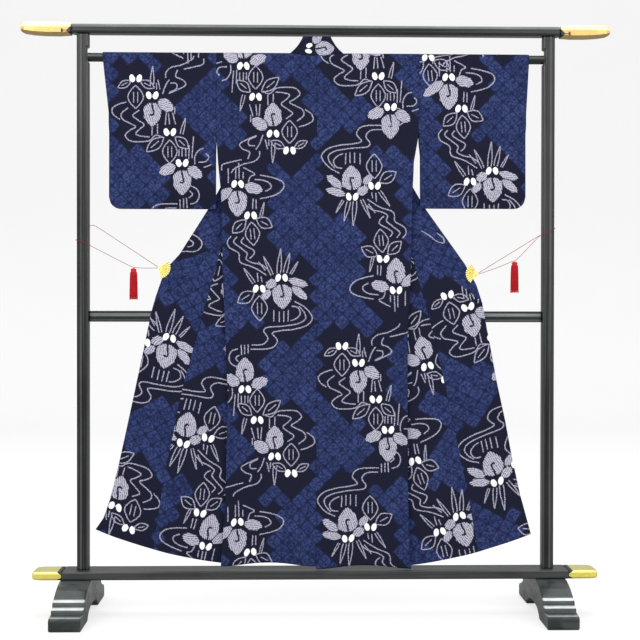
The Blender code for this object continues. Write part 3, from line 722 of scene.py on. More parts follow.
# keeps the drawing on the corners of the mesh; lay: where each vertex is on the flat cloth
def markMesh(mesh, lay, drawing):
    starts = np.zeros(len(mesh.polygons), int)
    mesh.polygons.foreach_get("loop_start", starts)
    counts = np.zeros(len(mesh.polygons), int)
    mesh.polygons.foreach_get("loop_total", counts)
    verts = np.zeros(len(mesh.loops), int)
    mesh.loops.foreach_get("vertex_index", verts)
    face = np.repeat(np.arange(len(counts)), counts)
    corner = lay[verts]
    centre = np.zeros((len(counts), 2))
    for c in (0, 1):
        centre[:, c] = np.bincount(face, corner[:, c]) / counts
    order = np.arange(4)[None, :]
    cornersOf = starts[:, None] + np.minimum(order, counts[:, None] - 1)

    size = dye["cell"] * math.sqrt(2)
    a = np.floor((centre[:, 0] + centre[:, 1]) / size) + 0.5
    b = np.floor((centre[:, 1] - centre[:, 0]) / size) + 0.5
    middle = np.column_stack([(a - b) * size / 2, (a + b) * size / 2])
    inBand = (toBand(middle, drawing.bands) < 0.0).astype(float)

    lineA = np.tile([far, -far, 1.0], (len(corner), 1))
    lineB = lineA.copy()
    nearA = np.full(len(centre), far)
    nearB = nearA.copy()
    for points, half, kind in drawing.lines:
        pick = inBox(centre, points, keepWithin["line"])
        if not len(pick):
            continue
        gaps = np.hypot(*np.moveaxis(centre[pick, None] - points, -1, 0))
        k = gaps.argmin(1)
        least = gaps.min(1)
        close = least < keepWithin["line"]
        pick, k, least = pick[close], k[close], least[close]
        if not len(pick):
            continue
        tangent = np.gradient(points, axis=0)
        tangent /= np.maximum(np.hypot(*tangent.T), 1e-9)[:, None]
        run = np.concatenate([[0], np.cumsum(np.hypot(*np.diff(points, axis=0).T))])
        window = np.clip(k[:, None] + np.arange(-3, 4), 0, len(points) - 1)
        spot = corner[cornersOf[pick]]
        gap = spot[:, :, None, :] - points[window][:, None, :, :]
        best = (gap ** 2).sum(-1).argmin(2)
        index = np.take_along_axis(window, best, 1)
        toCorner = spot - points[index]
        way = tangent[index]
        signed = way[..., 0] * toCorner[..., 1] - way[..., 1] * toCorner[..., 0]
        along = run[index] + (way * toCorner).sum(-1)
        inside = np.minimum(along, run[-1] - along)
        values = np.stack([signed / half, inside / half, np.full(signed.shape, kind)], -1)
        score = least - 0.002 * (1 - kind)
        first = score < nearA[pick]
        old = pick[first]
        lineB[cornersOf[old]] = lineA[cornersOf[old]]
        nearB[old] = nearA[old]
        lineA[cornersOf[old]] = values[first]
        nearA[old] = score[first]
        second = ~first & (score < nearB[pick])
        lineB[cornersOf[pick[second]]] = values[second]
        nearB[pick[second]] = score[second]

    fill = np.full(len(corner), -far)
    hatch = np.zeros(len(corner))
    for outline, foot, tip in drawing.fills:
        pick = inBox(corner, outline, keepWithin["fill"])
        if not len(pick):
            continue
        p = corner[pick]
        start, end = outline, np.roll(outline, -1, 0)
        run = end - start
        share = ((p[:, None] - start) * run).sum(-1) / np.maximum((run ** 2).sum(-1), 1e-12)
        away = p[:, None] - start - np.clip(share, 0, 1)[..., None] * run
        least = np.hypot(away[..., 0], away[..., 1]).min(1) * 1000
        over = (start[:, 1] > p[:, None, 1]) != (end[:, 1] > p[:, None, 1])
        rise = np.where(np.abs(run[:, 1]) < 1e-9, 1e-9, run[:, 1])
        left = p[:, None, 0] < start[:, 0] + (p[:, None, 1] - start[:, 1]) * run[:, 0] / rise
        inside = (over & left).sum(1) % 2 == 1
        signed = np.where(inside, least, -least)
        pick, p, signed = (part[signed > fill[pick]] for part in (pick, p, signed))
        fill[pick] = signed
        axis = (tip - foot) / np.hypot(*(tip - foot))
        hatch[pick] = (p - foot) @ (np.array([-axis[1], axis[0]]) * 0.94 + axis * 0.34)

    bud = np.full(len(corner), -far)
    for at, halfU, halfV, tilt in drawing.buds:
        pick = np.nonzero((np.abs(corner - at) < keepWithin["bud"]).all(1))[0]
        x, y = (corner[pick] - at).T
        x, y = x * math.cos(tilt) - y * math.sin(tilt), x * math.sin(tilt) + y * math.cos(tilt)
        bud[pick] = np.maximum(bud[pick], (1 - np.sqrt((x / halfU) ** 2 + (y / halfV) ** 2)) * 8)

    marks = np.column_stack([inBand[face], fill, bud])
    for name, values in (("dyeLineA", lineA), ("dyeLineB", lineB), ("dyeMarks", marks)):
        layer = mesh.attributes.new(name, "FLOAT_VECTOR", "CORNER")
        layer.data.foreach_set("vector", values.astype(np.float32).ravel())
    mesh.attributes.new("dyeHatch", "FLOAT", "CORNER").data.foreach_set("value", hatch.astype(np.float32))
    uv = mesh.uv_layers.new(name="clothLay")
    uv.data.foreach_set("uv", corner.astype(np.float32).ravel())


def show(name, mesh, look):
    piece = bpy.data.objects.new(name, mesh)
    mesh.materials.append(look)
    bpy.context.scene.collection.objects.link(piece)
    for part in mesh.polygons:
        part.use_smooth = True
    return piece


def gridFaces(rows, cols, first, flip):
    a = first + np.arange(rows - 1)[:, None] * cols + np.arange(cols - 1)[None, :]
    quads = np.stack([a, a + 1, a + cols + 1, a + cols], -1).reshape(-1, 4)
    return quads[:, ::-1] if flip else quads


def steps(low, high, pitch):
    return np.linspace(low, high, max(int(round((high - low) / pitch)), 1) + 1)


# rows from the shoulder fold down
def overFold(length):
    return np.concatenate([[0.0, quarter * 0.33, quarter * 0.67], steps(quarter, length, cloth["grid"])])


# small soft creases that both layers share, so nothing crosses
def relief(points):
    x, z = points[..., 0], points[..., 2]
    low = smooth((1.66 - z) / 0.25)
    soft = np.sin(x * 34.0 + 1.1 * np.sin(z * 2.3)) * 0.0008 + np.sin(x * 61.0 + z * 3.1) * 0.0004
    out = points.copy()
    out[..., 1] += soft * low
    return out


# one length of cloth: its mesh, what is dyed on it and its thickness
def sewn(name, points, faces, lay, look, drawing):
    mesh = bpy.data.meshes.new(name)
    mesh.from_pydata(relief(points.reshape(-1, 3)).tolist(), [], [list(f) for f in faces])
    mesh.update()
    markMesh(mesh, lay.reshape(-1, 2), drawing)
    piece = show(name, mesh, look)
    wall = piece.modifiers.new("Solidify", "SOLIDIFY")
    wall.thickness = cloth["wall"]
    wall.offset = 0.0
    wall.use_even_offset = False
    return piece


# joins two rows of vertices of unequal number with a strip of triangles
def bridge(first, second, firstAt, secondAt):
    faces = []
    i = j = 0
    while i < len(first) - 1 or j < len(second) - 1:
        nextI = firstAt[i + 1] if i < len(first) - 1 else 9
        nextJ = secondAt[j + 1] if j < len(second) - 1 else 9
        if nextI <= nextJ:
            faces.append([first[i], first[i + 1], second[j]])
            i += 1
        else:
            faces.append([first[i], second[j + 1], second[j]])
            j += 1
    return faces


# vertices across each piece, and round the neck
columns = {"back": 63, "flat": 15, "fold": 7, "wing": 47, "sleeve": 69, "okumi": 33, "collar": 15}
neckTurns = {"back": 9, "collar": 20}


def bodyPiece(side, look, drawing):
    gap = -cloth["seamLap"] / 2
    nape = math.radians(cloth["neckAngle"]) * ring
    shares = np.linspace(0, 1, columns["back"])
    turns = np.radians(np.linspace(90, 10, neckTurns["back"]))
    low = steps(nape + 0.004, hemLength(side), cloth["grid"])[::-1]
    rows = [(v, gap, float(sideEdge(side, rowHeight(v)))) for v in low]
    edgeTop = float(sideEdge(side, ridge))
    rows += [(nape * math.sin(t), max(cloth["neckHalf"] * math.cos(t), gap), edgeTop) for t in turns]
    v = np.array([r[0] for r in rows])[:, None] + shares * 0
    inner = np.array([r[1] for r in rows])[:, None]
    outer = np.array([r[2] for r in rows])[:, None]
    d = outer + (inner - outer) * shares
    back = backPoint(side, d, v)
    backLay = np.stack([sides[side] * d, v], -1)

    radius = cloth["foldRadius"]
    fold = math.pi * radius
    down = overFold(hemLength(side))
    vv = down[:, None]
    outer = sideEdge(side, rowHeight(vv))
    turn = crease(side, vv)
    seam = np.minimum(collarSeam(side, vv), okumiSeam(side, vv)) - gap
    flatShares = np.linspace(0, 1, columns["flat"])[:-1]
    dFlat = outer + (turn - outer) * flatShares
    layerOne = frontPoint(side, dFlat, vv + dFlat * 0)
    foldShares = np.linspace(0, 1, columns["fold"])[:-1]
    wingShares = np.linspace(0, 1, columns["wing"])
    q = np.concatenate([fold * foldShares + vv * 0, fold + (seam - fold) * wingShares], 1)
    layerTwo = wingPoint(side, q, vv + q * 0)
    front = np.concatenate([layerOne, layerTwo], 1)
    path = np.concatenate([dFlat, turn - q], 1)
    frontLay = np.stack([sides[side] * path, -vv + path * 0], -1)

    flip = side == "right"
    nb, nf = back.shape[1], front.shape[1]
    faces = list(gridFaces(back.shape[0], nb, 0, flip))
    offset = back.shape[0] * nb
    faces += list(gridFaces(front.shape[0], nf, offset, flip))
    lastBack = np.arange(offset - nb, offset)
    firstFront = np.arange(offset, offset + nf)
    run = 1 - (path[0] - path[0, -1]) / (path[0, 0] - path[0, -1])
    strip = bridge(lastBack, firstFront, shares, run)
    faces += [f[::-1] if flip else f for f in strip]
    points = np.concatenate([back.reshape(-1, 3), front.reshape(-1, 3)])
    lay = np.concatenate([backLay.reshape(-1, 2), frontLay.reshape(-1, 2)])
    return sewn("robeBody" + side.title(), points, faces, lay, look, drawing)


def sleevePiece(side, look, drawing):
    sizes = sleeveEdges[side]
    drop = stand["floorToRod"] - sizes["bottom"]
    least = (cloth["wall"] + cloth["seamGap"]) / 2
    total = drop + quarter
    half = overFold(total)
    v = np.concatenate([half[::-1], half[1:]])[:, None]
    layer = np.concatenate([-np.ones(len(half)), np.ones(len(half) - 1)])[:, None]
    share = np.linspace(0, 1, columns["sleeve"])[None, :]
    down = np.maximum(v - quarter, 0) / drop
    join = sideEdge(side, rowHeight(v)) - cloth["seamLap"]
    inner = join + (sizes["innerLow"] - join) * smooth((v - cloth["sleeveJoin"]) / 0.1)
    outer = sizes["outerTop"] + (sizes["outerLow"] - sizes["outerTop"]) * np.minimum(1.0, down * 2.5)
    d = inner + (outer - inner) * share
    reach = outer - d
    corner = cloth["sleeveCorner"]
    roundOff = corner - np.sqrt(np.maximum(corner ** 2 - np.maximum(corner - reach, 0) ** 2, 0))
    here = v * (total - roundOff) / total
    closing = 1 - smooth((total - roundOff - here) / 0.06)
    past = smooth((here - cloth["cuffOpen"]) / 0.03)
    closing = np.maximum(closing, past * (1 - smooth(reach / 0.04)))
    angle = np.minimum(here / ring, math.pi / 2)
    curled = here < quarter
    z = stand["floorToRod"] + np.where(curled, ring * np.cos(angle), quarter - here)
    back, front = column(layerDepth, z, 1), column(layerDepth, z, 2)
    hanging = (back + front) / 2 + layer * (least + ((front - back) / 2 - least) * (1 - closing))
    y = np.where(curled, layer * ring * np.sin(angle), hanging)
    points = np.stack([sides[side] * d, y, z], -1)
    lay = np.stack([sides[side] * d, -layer * here], -1)
    faces = gridFaces(points.shape[0], points.shape[1], 0, side == "left")
    return sewn("robeSleeve" + side.title(), points, faces, lay, look, drawing)


def okumiPiece(side, look, drawing):
    gap = -cloth["seamLap"] / 2
    first = 0.25
    while collarSeam(side, first) - okumiSeam(side, first) < 0.003:
        first += 0.001
    stops = ((first, cloth["collarTip"]), (cloth["collarTip"], hemLength(side)))
    down = np.unique(np.concatenate([steps(*pair, cloth["grid"]) for pair in stops]))
    vv = down[:, None]
    low = okumiSeam(side, vv) + gap
    high = collarSeam(side, vv) - np.where(vv < cloth["collarTip"], gap, 0)
    q = low + (high - low) * np.linspace(0, 1, columns["okumi"])
    points = wingPoint(side, q, vv + q * 0)
    lay = np.stack([sides[side] * (crease(side, vv) - q), -vv + q * 0], -1)
    faces = gridFaces(points.shape[0], points.shape[1], 0, side == "right")
    return sewn("robeOkumi" + side.title(), points, faces, lay, look, drawing)


# the collar lies flat: half its way round the neck, its outer edge and its width
collarLay = {"round": 0.13, "edge": 0.06, "wide": 0.07}


def collarPiece(look, drawing):
    shares = np.linspace(0, 1, columns["collar"])
    down = steps(0.0, cloth["collarTip"] - 0.003, cloth["grid"])
    neck = -np.linspace(4, 86, neckTurns["collar"])
    rows, lay = [], []
    for side in sides:
        lengths = list(down[::-1]) + list(neck)
        half = [[collarPoint(side, s, v) for s in shares] for v in lengths]
        nape = [[collarPoint(side, s, -90) * (0, 1, 1) for s in shares]]
        perDegree = collarLay["round"] / 90
        lengthLay = [collarLay["round"] + (v if v > 0 else v * perDegree) for v in lengths]
        outward = [collarLay["edge"] - collarLay["wide"] * s for s in shares]
        halfLay = [[(sides[side] * r, c) for c in outward] for r in lengthLay]
        middle = [[(0.0, c) for c in outward]]
        if side == "left":
            rows += half + nape
            lay += halfLay + middle
        else:
            rows += half[::-1]
            lay += halfLay[::-1]
    points = np.array(rows)
    faces = gridFaces(points.shape[0], points.shape[1], 0, False)
    return sewn("robeCollar", points, faces, np.array(lay), look, drawing)


# where a place on the hung front lies on its cloth
def onWing(side, x, z):
    vv = np.linspace(0.2, hemLength(side), 120)[:, None]
    q = np.linspace(0.02, 0.5, 90)[None, :]
    spots = wingPoint(side, q + vv * 0, vv + q * 0)
    away = np.hypot(spots[..., 0] - x, spots[..., 2] - z)
    i, j = np.unravel_index(away.argmin(), away.shape)
    at = spots[i, j]
    return (sides[side] * (crease(side, vv[i, 0]) - q[0, j]) - (x - at[0]), -vv[i, 0] + (z - at[2]))


def dressRobe():
    cotton = cottonMaterial()
    # group, u or x, v or z, turned
    backLeft = [("two", -0.108, -0.295, False), ("one", -0.227, 0.052, False), ("two", -0.108, 0.705, False),
                ("one", -0.221, 1.050, False), ("two", -0.108, 1.748, False)]
    backRight = [("two", 0.110, -0.585, True), ("one", 0.228, 0.176, True), ("two", 0.110, 0.454, True),
                 ("one", 0.222, 1.176, True), ("two", 0.099, 1.515, True)]
    # on the fronts: group, x and z of one flower as it hangs, turned, that flower's place in the group
    wingLeft = [("two", -0.411, 0.528, False, (0, 0)), ("one", -0.2964, 1.120, False, (143, 260))]
    wingRight = [("one", 0.3456, 0.7676, True, (92, 208)), ("two", 0.447, 0.301, True, (0, 0))]
    okumiLeft = [("two", -0.456, 0.856, True, (0, 0)), ("one", -0.6207, 0.3329, True, (92, 208))]
    okumiRight = [("one", 0.4703, 0.9523, False, (92, 208)), ("two", 0.565, 0.407, False, (0, 0))]
    drawings = {}
    placed = (("left", backLeft, wingLeft, okumiLeft), ("right", backRight, wingRight, okumiRight))
    for side, backs, wings, gores in placed:
        body = Drawing()
        for group, u, v, turned in backs:
            body.group(group, (u, v), turned)
        gore = Drawing()
        for piece, places in ((body, wings), (gore, gores)):
            for group, x, z, turned, by in places:
                sign = -1.0 if turned else 1.0
                anchor = np.array(onWing(side, x, z)) - sign * np.array(by) / 1000
                piece.group(group, anchor, turned)
        drawings["body" + side] = body
        drawings["okumi" + side] = gore
    sleeve = Drawing()
    sleeve.group("one", (-0.415, 0.352), True)
    sleeve.group("two", (-0.525, 0.698), True)
    sleeve.group("two", (-0.53, -0.31), True)
    drawings["sleeveleft"] = sleeve
    sleeve = Drawing()
    sleeve.group("two", (0.5445, 0.372), False)
    sleeve.single("openIris", (0.345, 0.022), False, False)
    sleeve.group("one", (0.425, -0.28), False)
    drawings["sleeveright"] = sleeve
    neck = Drawing()
    neck.single("halfIris", (-0.028, 0.034), False, True, True)
    grounds = [((-0.055, 0.030), (0.055, 0.030), 0.045), ((-0.768, -0.008), (-0.798, 0.000), 0.036)]
    neck.bands += [(np.array(start), np.array(end), radius) for start, end, radius in grounds]
    neck.free([(-0.746, -0.012), (-0.754, 0.010), (-0.768, 0.027), (-0.788, 0.031), (-0.802, 0.020),
               (-0.806, 0.004), (-0.812, -0.012)])
    neck.free([(-0.766, -0.012), (-0.772, 0.004), (-0.784, 0.008), (-0.792, -0.002)])
    neck.free([(0.722, 0.040), (0.742, 0.028), (0.764, 0.020), (0.776, 0.006), (0.760, -0.002),
               (0.738, 0.004)])
    drawings["collar"] = neck
    pieces = {}
    for side in sides:
        pieces["body_" + side] = bodyPiece(side, cotton, drawings["body" + side])
        pieces["sleeve_" + side] = sleevePiece(side, cotton, drawings["sleeve" + side])
        pieces["okumi_" + side] = okumiPiece(side, cotton, drawings["okumi" + side])
    pieces["collar"] = collarPiece(cotton, drawings["collar"])
    for node, piece in pieces.items():
        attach(piece, "root")
        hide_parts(node)
    return pieces


lacquer = {
    "deep": (0.0048, 0.0064, 0.0062),
    "cloud": (0.0110, 0.0135, 0.0130),
    "streak": (0.0320, 0.0370, 0.0360),
    # colour of the painted highlights on the lacquer
    "paintedHighlight": (0.92, 0.99, 1.00),
    "dust": (0.10, 0.09, 0.07),
}

# lacquer of each part of the stand: scale of the brush marks, how pale, the nodes it covers, its painted
# highlights painted highlights are paler bands of base colour where the section would catch the light: axis,
# from, to, strength, least distance from y = 0
lengthwise = (1.5, 160.0, 160.0)
lacquered = {
    "lacquerUpright": {
        "marks": (160.0, 160.0, 1.5), "lift": 1.0, "nodes": ["post_left", "post_right"],
        "paintedHighlights": [(0, 0.7235, 0.7290, 0.100, 0), (0, 0.7050, 0.7085, 0.070, 0)]},
    "lacquerTop": {
        "marks": lengthwise, "lift": 1.0, "nodes": ["top_bar"],
        "paintedHighlights": [(2, 1.8125, 1.8240, 0.300, 0), (2, 1.7990, 1.8050, 0.022, 0)]},
    "lacquerMiddle": {
        "marks": lengthwise, "lift": 1.0, "nodes": ["mid_bar"],
        "paintedHighlights": [(2, 0.9230, 0.9320, 0.300, 0), (2, 0.9060, 0.9140, 0.080, 0)]},
    "lacquerLow": {
        "marks": lengthwise, "lift": 1.0, "nodes": ["bottom_bar"],
        "paintedHighlights": [(2, 0.1150, 0.1345, 0.060, 0), (2, 0.1360, 0.1400, 0.060, 0)]},
    "lacquerRod": {
        "marks": lengthwise, "lift": 1.0, "nodes": ["hanging_rod"],
        "paintedHighlights": [(2, 1.7240, 1.7300, 0.120, 0), (2, 1.7120, 1.7150, 0.020, 0)]},
    # painted light: the feet's lacquer is made three times paler than the rest to stand for the light on
    # their faces
    "lacquerFoot": {
        "marks": (12.0, 12.0, 30.0), "lift": 3.0, "nodes": ["foot_left", "foot_right"],
        "paintedHighlights": [(2, 0.0540, 0.0590, 1.0, 0.1795), (2, 0.0720, 0.0775, 1.0, 0.1600),
                   (2, 0.0395, 0.0420, 0.40, 0.2000)]},
}


def lacquerMaterial(name, settings):
    look, tree = newMaterial(name)
    where = objectPlace(tree)
    parts = split(where)
    lift = settings["lift"]
    deep, cloud, drawn = (tuple(c * lift for c in lacquer[key]) for key in ("deep", "cloud", "streak"))
    cloudy = noise(tree, where, 9.0, 3.0, 0.6)
    brushed = {"Vector": where, "Scale": settings["marks"]}
    streak = noise(tree, made(tree, "ShaderNodeMapping", {"vector_type": "POINT"}, brushed), 1.0, 2.0, 0.6)
    dust = step(noise(tree, where, 520.0, 2.0, 0.6), 0.70, 0.80)
    shade = tint(tree, step(cloudy, 0.3, 0.75), deep, cloud)
    shade = tint(tree, step(streak, 0.46, 0.62) * (0.8 if lift == 1.0 else 0.3), shade, drawn)
    aside = parts[1].maths("ABSOLUTE")
    # painted highlights: the base colour turns pale in each band, standing for light caught by bevels, ridges
    # and the rod
    for axis, low, high, strength, past in settings["paintedHighlights"]:
        at = parts[axis]
        if axis == 0:
            at = at.maths("ABSOLUTE")
        soft = (high - low) * 0.25
        lit = step(at, low - soft, low + soft) * (1 - step(at, high - soft, high + soft))
        if past:
            lit = lit * step(aside, past - 0.0003, past + 0.0003)
        lit = lit * (0.6 + (streak - 0.5) * 0.8 + (cloudy - 0.5) * 0.6)
        shade = tint(tree, lit, shade, tuple(strength * c for c in lacquer["paintedHighlight"]))
    shade = tint(tree, dust * 0.4, shade, lacquer["dust"])
    rough = 0.26 + step(streak, 0.40, 0.75) * 0.16 + dust * 0.25
    bump = (cloudy + streak * 0.5, 0.15, 0.0012)
    return finishShader(look, tree, shade, rough, bump, {"Coat Weight": 0.0, "Specular IOR Level": 0.34})


# gold over black where the bar reaches in: a tongue with a knob, or a finger along each edge
def fittingMaterial(name, settings):
    look, tree = newMaterial(name)
    where = objectPlace(tree)
    x, _, z = split(where)
    grain = noise(tree, where, 160.0, 3.0, 0.6)
    shade = tint(tree, step(grain, 0.3, 0.7), settings["low"], settings["high"])
    # painted highlight: a pale band of the shine colour along the crown, the cap's upper bevel
    crest = step(z + (grain - 0.5) * 0.004, settings["crown"] - 0.002, settings["crown"] + 0.002)
    shade = tint(tree, crest, shade, settings["shine"])
    past = x.maths("ABSOLUTE") - settings["bar"]
    up = (z - settings["middle"]).maths("ABSOLUTE")
    if settings["tongue"]:
        half = 0.0105 * (1 - step(past, 0.0, 0.014)) + 0.0012 * (1 - step(past, 0.023, 0.025))
        tongue = 1 - step(up - half, -0.0004, 0.0004)
        knobX = (past - 0.026) / 0.0035
        knobZ = up / 0.0062
        black = tongue.maths("MAXIMUM", 1 - step(knobX * knobX + knobZ * knobZ, 0.8, 1.2))
    else:
        black = 1 - step(past - 0.012 * step(up, 0.003, 0.0115), -0.0004, 0.0004)
    shade = tint(tree, black, shade, (0.008, 0.009, 0.009))
    rough = 0.30 + step(grain, 0.3, 0.8) * 0.16
    bump = (grain * 0.3 + (1 - black) * 0.6, 0.25, 0.0006)
    return finishShader(look, tree, shade, rough, bump, {"Metallic": (1 - black) * 0.9})


def goldMaterial():
    look, tree = newMaterial("goldFan")
    where = objectPlace(tree)
    grain = noise(tree, where, 300.0, 3.0, 0.6)
    fold = kept(tree, "pleat", 2)
    bright = tint(tree, step(grain, 0.3, 0.7), (0.98, 0.86, 0.20), (1.00, 0.94, 0.40))
    # painted shade: the gold darkens to olive brown in the pleats' folds
    shade = tint(tree, step(fold + (grain - 0.5) * 0.4, 0.02, 0.55), (0.42, 0.30, 0.030), bright)
    return finishShader(look, tree, shade, 0.42 + grain * 0.15, (grain, 0.3, 0.0004), {"Metallic": 0.35})


# shine is the colour of a painted highlight along each cap's crown
fittings = {
    "top": {"bar": stand["topBarHalf"], "middle": 1.8000, "tongue": True, "crown": 1.8125,
            "low": (0.44, 0.28, 0.095), "high": (0.58, 0.39, 0.150), "shine": (0.86, 0.74, 0.34)},
    "low": {"bar": stand["plankHalf"], "middle": 0.1250, "tongue": False, "crown": 0.1340,
            "low": (0.90, 0.76, 0.14), "high": (1.00, 0.88, 0.24), "shine": (1.00, 0.92, 0.40)},
}


def paintStand():
    looks = {}
    for name, settings in lacquered.items():
        look = lacquerMaterial(name, settings)
        for node in settings["nodes"]:
            looks[node] = look
    for prefix, name, key in (("top_cap_", "topFitting", "top"), ("bottom_cap_", "lowFitting", "low")):
        look = fittingMaterial(name, fittings[key])
        for side in sides:
            looks[prefix + side] = look
    for node, look in looks.items():
        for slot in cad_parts[node].material_slots:
            slot.material = look


# places of the ties: distance from the middle, height
clip = {
    "spread": 120.0,
    "ribs": 10,
    "plate": 0.0022,
    "slot": 0.0022,
    "radii": (0.0035, 0.010, 0.018, 0.026, 0.0315, 0.0335),
    "crimp": 0.035,  # how far the rim runs in at a fold, as a share of the radius
    "pleat": 0.0018,
    "boltIn": 0.0035,  # from the pivot towards the middle
    "bolt": 0.0032,
    "boltSides": 20,
}
clipAt = {"left": (0.485, 1.073), "right": (0.498, 1.056)}
clipTurn = {"left": 26.0, "right": -5.0}
tasselAt = {"left": (0.565, 1.070), "right": (0.616, 1.093)}
# heights on the post: first inner corner, outer corner, last inner corner
cordHeights = {"left": (1.2085, 1.1600, 1.1410), "right": (1.1763, 1.1989, 1.1750)}
cordTurn = {"left": 1.0, "right": -1.0}  # 1 goes behind the post first
cordSize = {"radius": 0.0008}
tassel = {
    "length": 0.097,
    "head": 0.0096,
    "strands": 110,
    "strandRadius": 0.00042,
    "y": -0.012,
    "neck": 0.0120,  # where the threads start, below the top
    "waist": 0.0096,  # radius of the threads' ring at their start and at their ends
    "skirt": 0.0122,
    "seed": {"left": 3, "right": 9},
}


def edgeDepth(side, z):
    rows = [wingPoint(side, wingWidth(side, v) - 0.012, v) for v in np.linspace(1.0, 0.6, 17)]
    return float(np.interp(z, [float(p[2]) for p in rows], [float(p[1]) for p in rows]))


def between(start, stop, share):
    return tuple(a + (b - a) * share for a, b in zip(start, stop))


def cordRoute(side):
    clipD, clipZ = clipAt[side]
    tasselD, tasselZ = tasselAt[side]
    y = edgeDepth(side, clipZ)
    half = stand["postSize"] / 2 + 0.0041
    post = stand["postCentre"]
    near = cordTurn[side]
    high, outer, low = cordHeights[side]
    wrap = [
        (post - half - 0.006, near * (half - 0.006), high - 0.001),
        (post - half + 0.008, near * half, high + (outer - high) * 0.15),
        (post, near * half, high + (outer - high) * 0.45),
        (post + half - 0.006, near * half, high + (outer - high) * 0.85),
        (post + half, near * (half - 0.008), outer),
        (post + half, 0.0, outer - 0.002),
        (post + half, -near * (half - 0.007), outer - 0.003),
        (post + half - 0.008, -near * half, outer + (low - outer) * 0.25),
        (post, -near * half, outer + (low - outer) * 0.5),
        (post - half + 0.006, -near * half, outer + (low - outer) * 0.85),
        (post - half, -near * (half - 0.008), low + 0.001),
        (post - half - 0.002, -near * 0.005 - 0.005, low - 0.0015),
        (post - half - 0.010, -0.010, low - 0.006),
    ]
    start = (clipD + 0.0065, y, clipZ + 0.0022)
    knot = (tasselD + 0.004, -0.012, tasselZ + 0.0035)
    return [start, between(start, wrap[0], 0.35), between(start, wrap[0], 0.75)] + wrap + [
        between(wrap[-1], knot, 0.5),
        knot,
        (tasselD - 0.006, -0.012, tasselZ + 0.0025),
        ((tasselD + clipD) / 2 + 0.004, -0.008, (tasselZ + clipZ) / 2 - 0.001),
        (clipD + 0.0065, y, clipZ - 0.0012),
    ]


def silkMaterial(name, low, high):
    look, tree = newMaterial(name)
    where = objectPlace(tree)
    drawn = made(tree, "ShaderNodeMapping", {}, {"Vector": where, "Scale": (1.0, 1.0, 0.06)})
    fine = noise(tree, drawn, 900.0, 2.0, 0.5)
    shade = tint(tree, step(fine, 0.25, 0.75), low, high)
    rough = 0.50 + fine * 0.15
    return finishShader(look, tree, shade, rough, (fine, 0.3, 0.0003), {"Specular IOR Level": 0.25})


def cordPiece(side, look):
    curve = bpy.data.curves.new("cordRed" + side.title(), "CURVE")
    curve.dimensions = "3D"
    curve.bevel_depth = cordSize["radius"]
    curve.bevel_resolution = 2
    curve.resolution_u = 6
    curve.use_fill_caps = True
    line = curve.splines.new("NURBS")
    route = cordRoute(side)
    line.points.add(len(route) - 1)
    for spot, (d, y, z) in zip(line.points, route):
        spot.co = (sides[side] * d, y, z, 1.0)
    line.use_endpoint_u = True
    line.order_u = 3
    curve.materials.append(look)
    piece = bpy.data.objects.new(curve.name, curve)
    bpy.context.scene.collection.objects.link(piece)
    return piece


def routeLength(piece):
    seen = piece.data.copy()
    seen.bevel_depth = 0.0
    probe = bpy.data.objects.new("cordProbe", seen)
    bpy.context.scene.collection.objects.link(probe)
    mesh = bpy.data.meshes.new_from_object(probe.evaluated_get(bpy.context.evaluated_depsgraph_get()))
    spots = [v.co.copy() for v in mesh.vertices]
    total = sum((b - a).length for a, b in zip(spots, spots[1:]))
    bpy.data.objects.remove(probe, do_unlink=True)
    bpy.data.curves.remove(seen)
    bpy.data.meshes.remove(mesh)
    return total


def treeInputs(tree, inputs):
    tree.interface.new_socket("Geometry", in_out="INPUT", socket_type="NodeSocketGeometry")
    for name, kind, value in inputs:
        slot = tree.interface.new_socket(name, in_out="INPUT", socket_type=kind)
        if value is not None:
            slot.default_value = value
    tree.interface.new_socket("Geometry", in_out="OUTPUT", socket_type="NodeSocketGeometry")


# runs the tree on the piece and keeps the result as a plain mesh
def growInto(piece, tree, values):
    grow = piece.modifiers.new("Grow", "NODES")
    grow.node_group = tree
    for item in tree.interface.items_tree:
        if item.item_type == "SOCKET" and item.in_out == "INPUT" and item.name in values:
            grow[item.identifier] = values[item.name]
    bpy.context.view_layer.update()
    result = bpy.data.meshes.new_from_object(piece.evaluated_get(bpy.context.evaluated_depsgraph_get()))
    piece.modifiers.remove(grow)
    piece.data = result
    for part in result.polygons:
        part.use_smooth = True


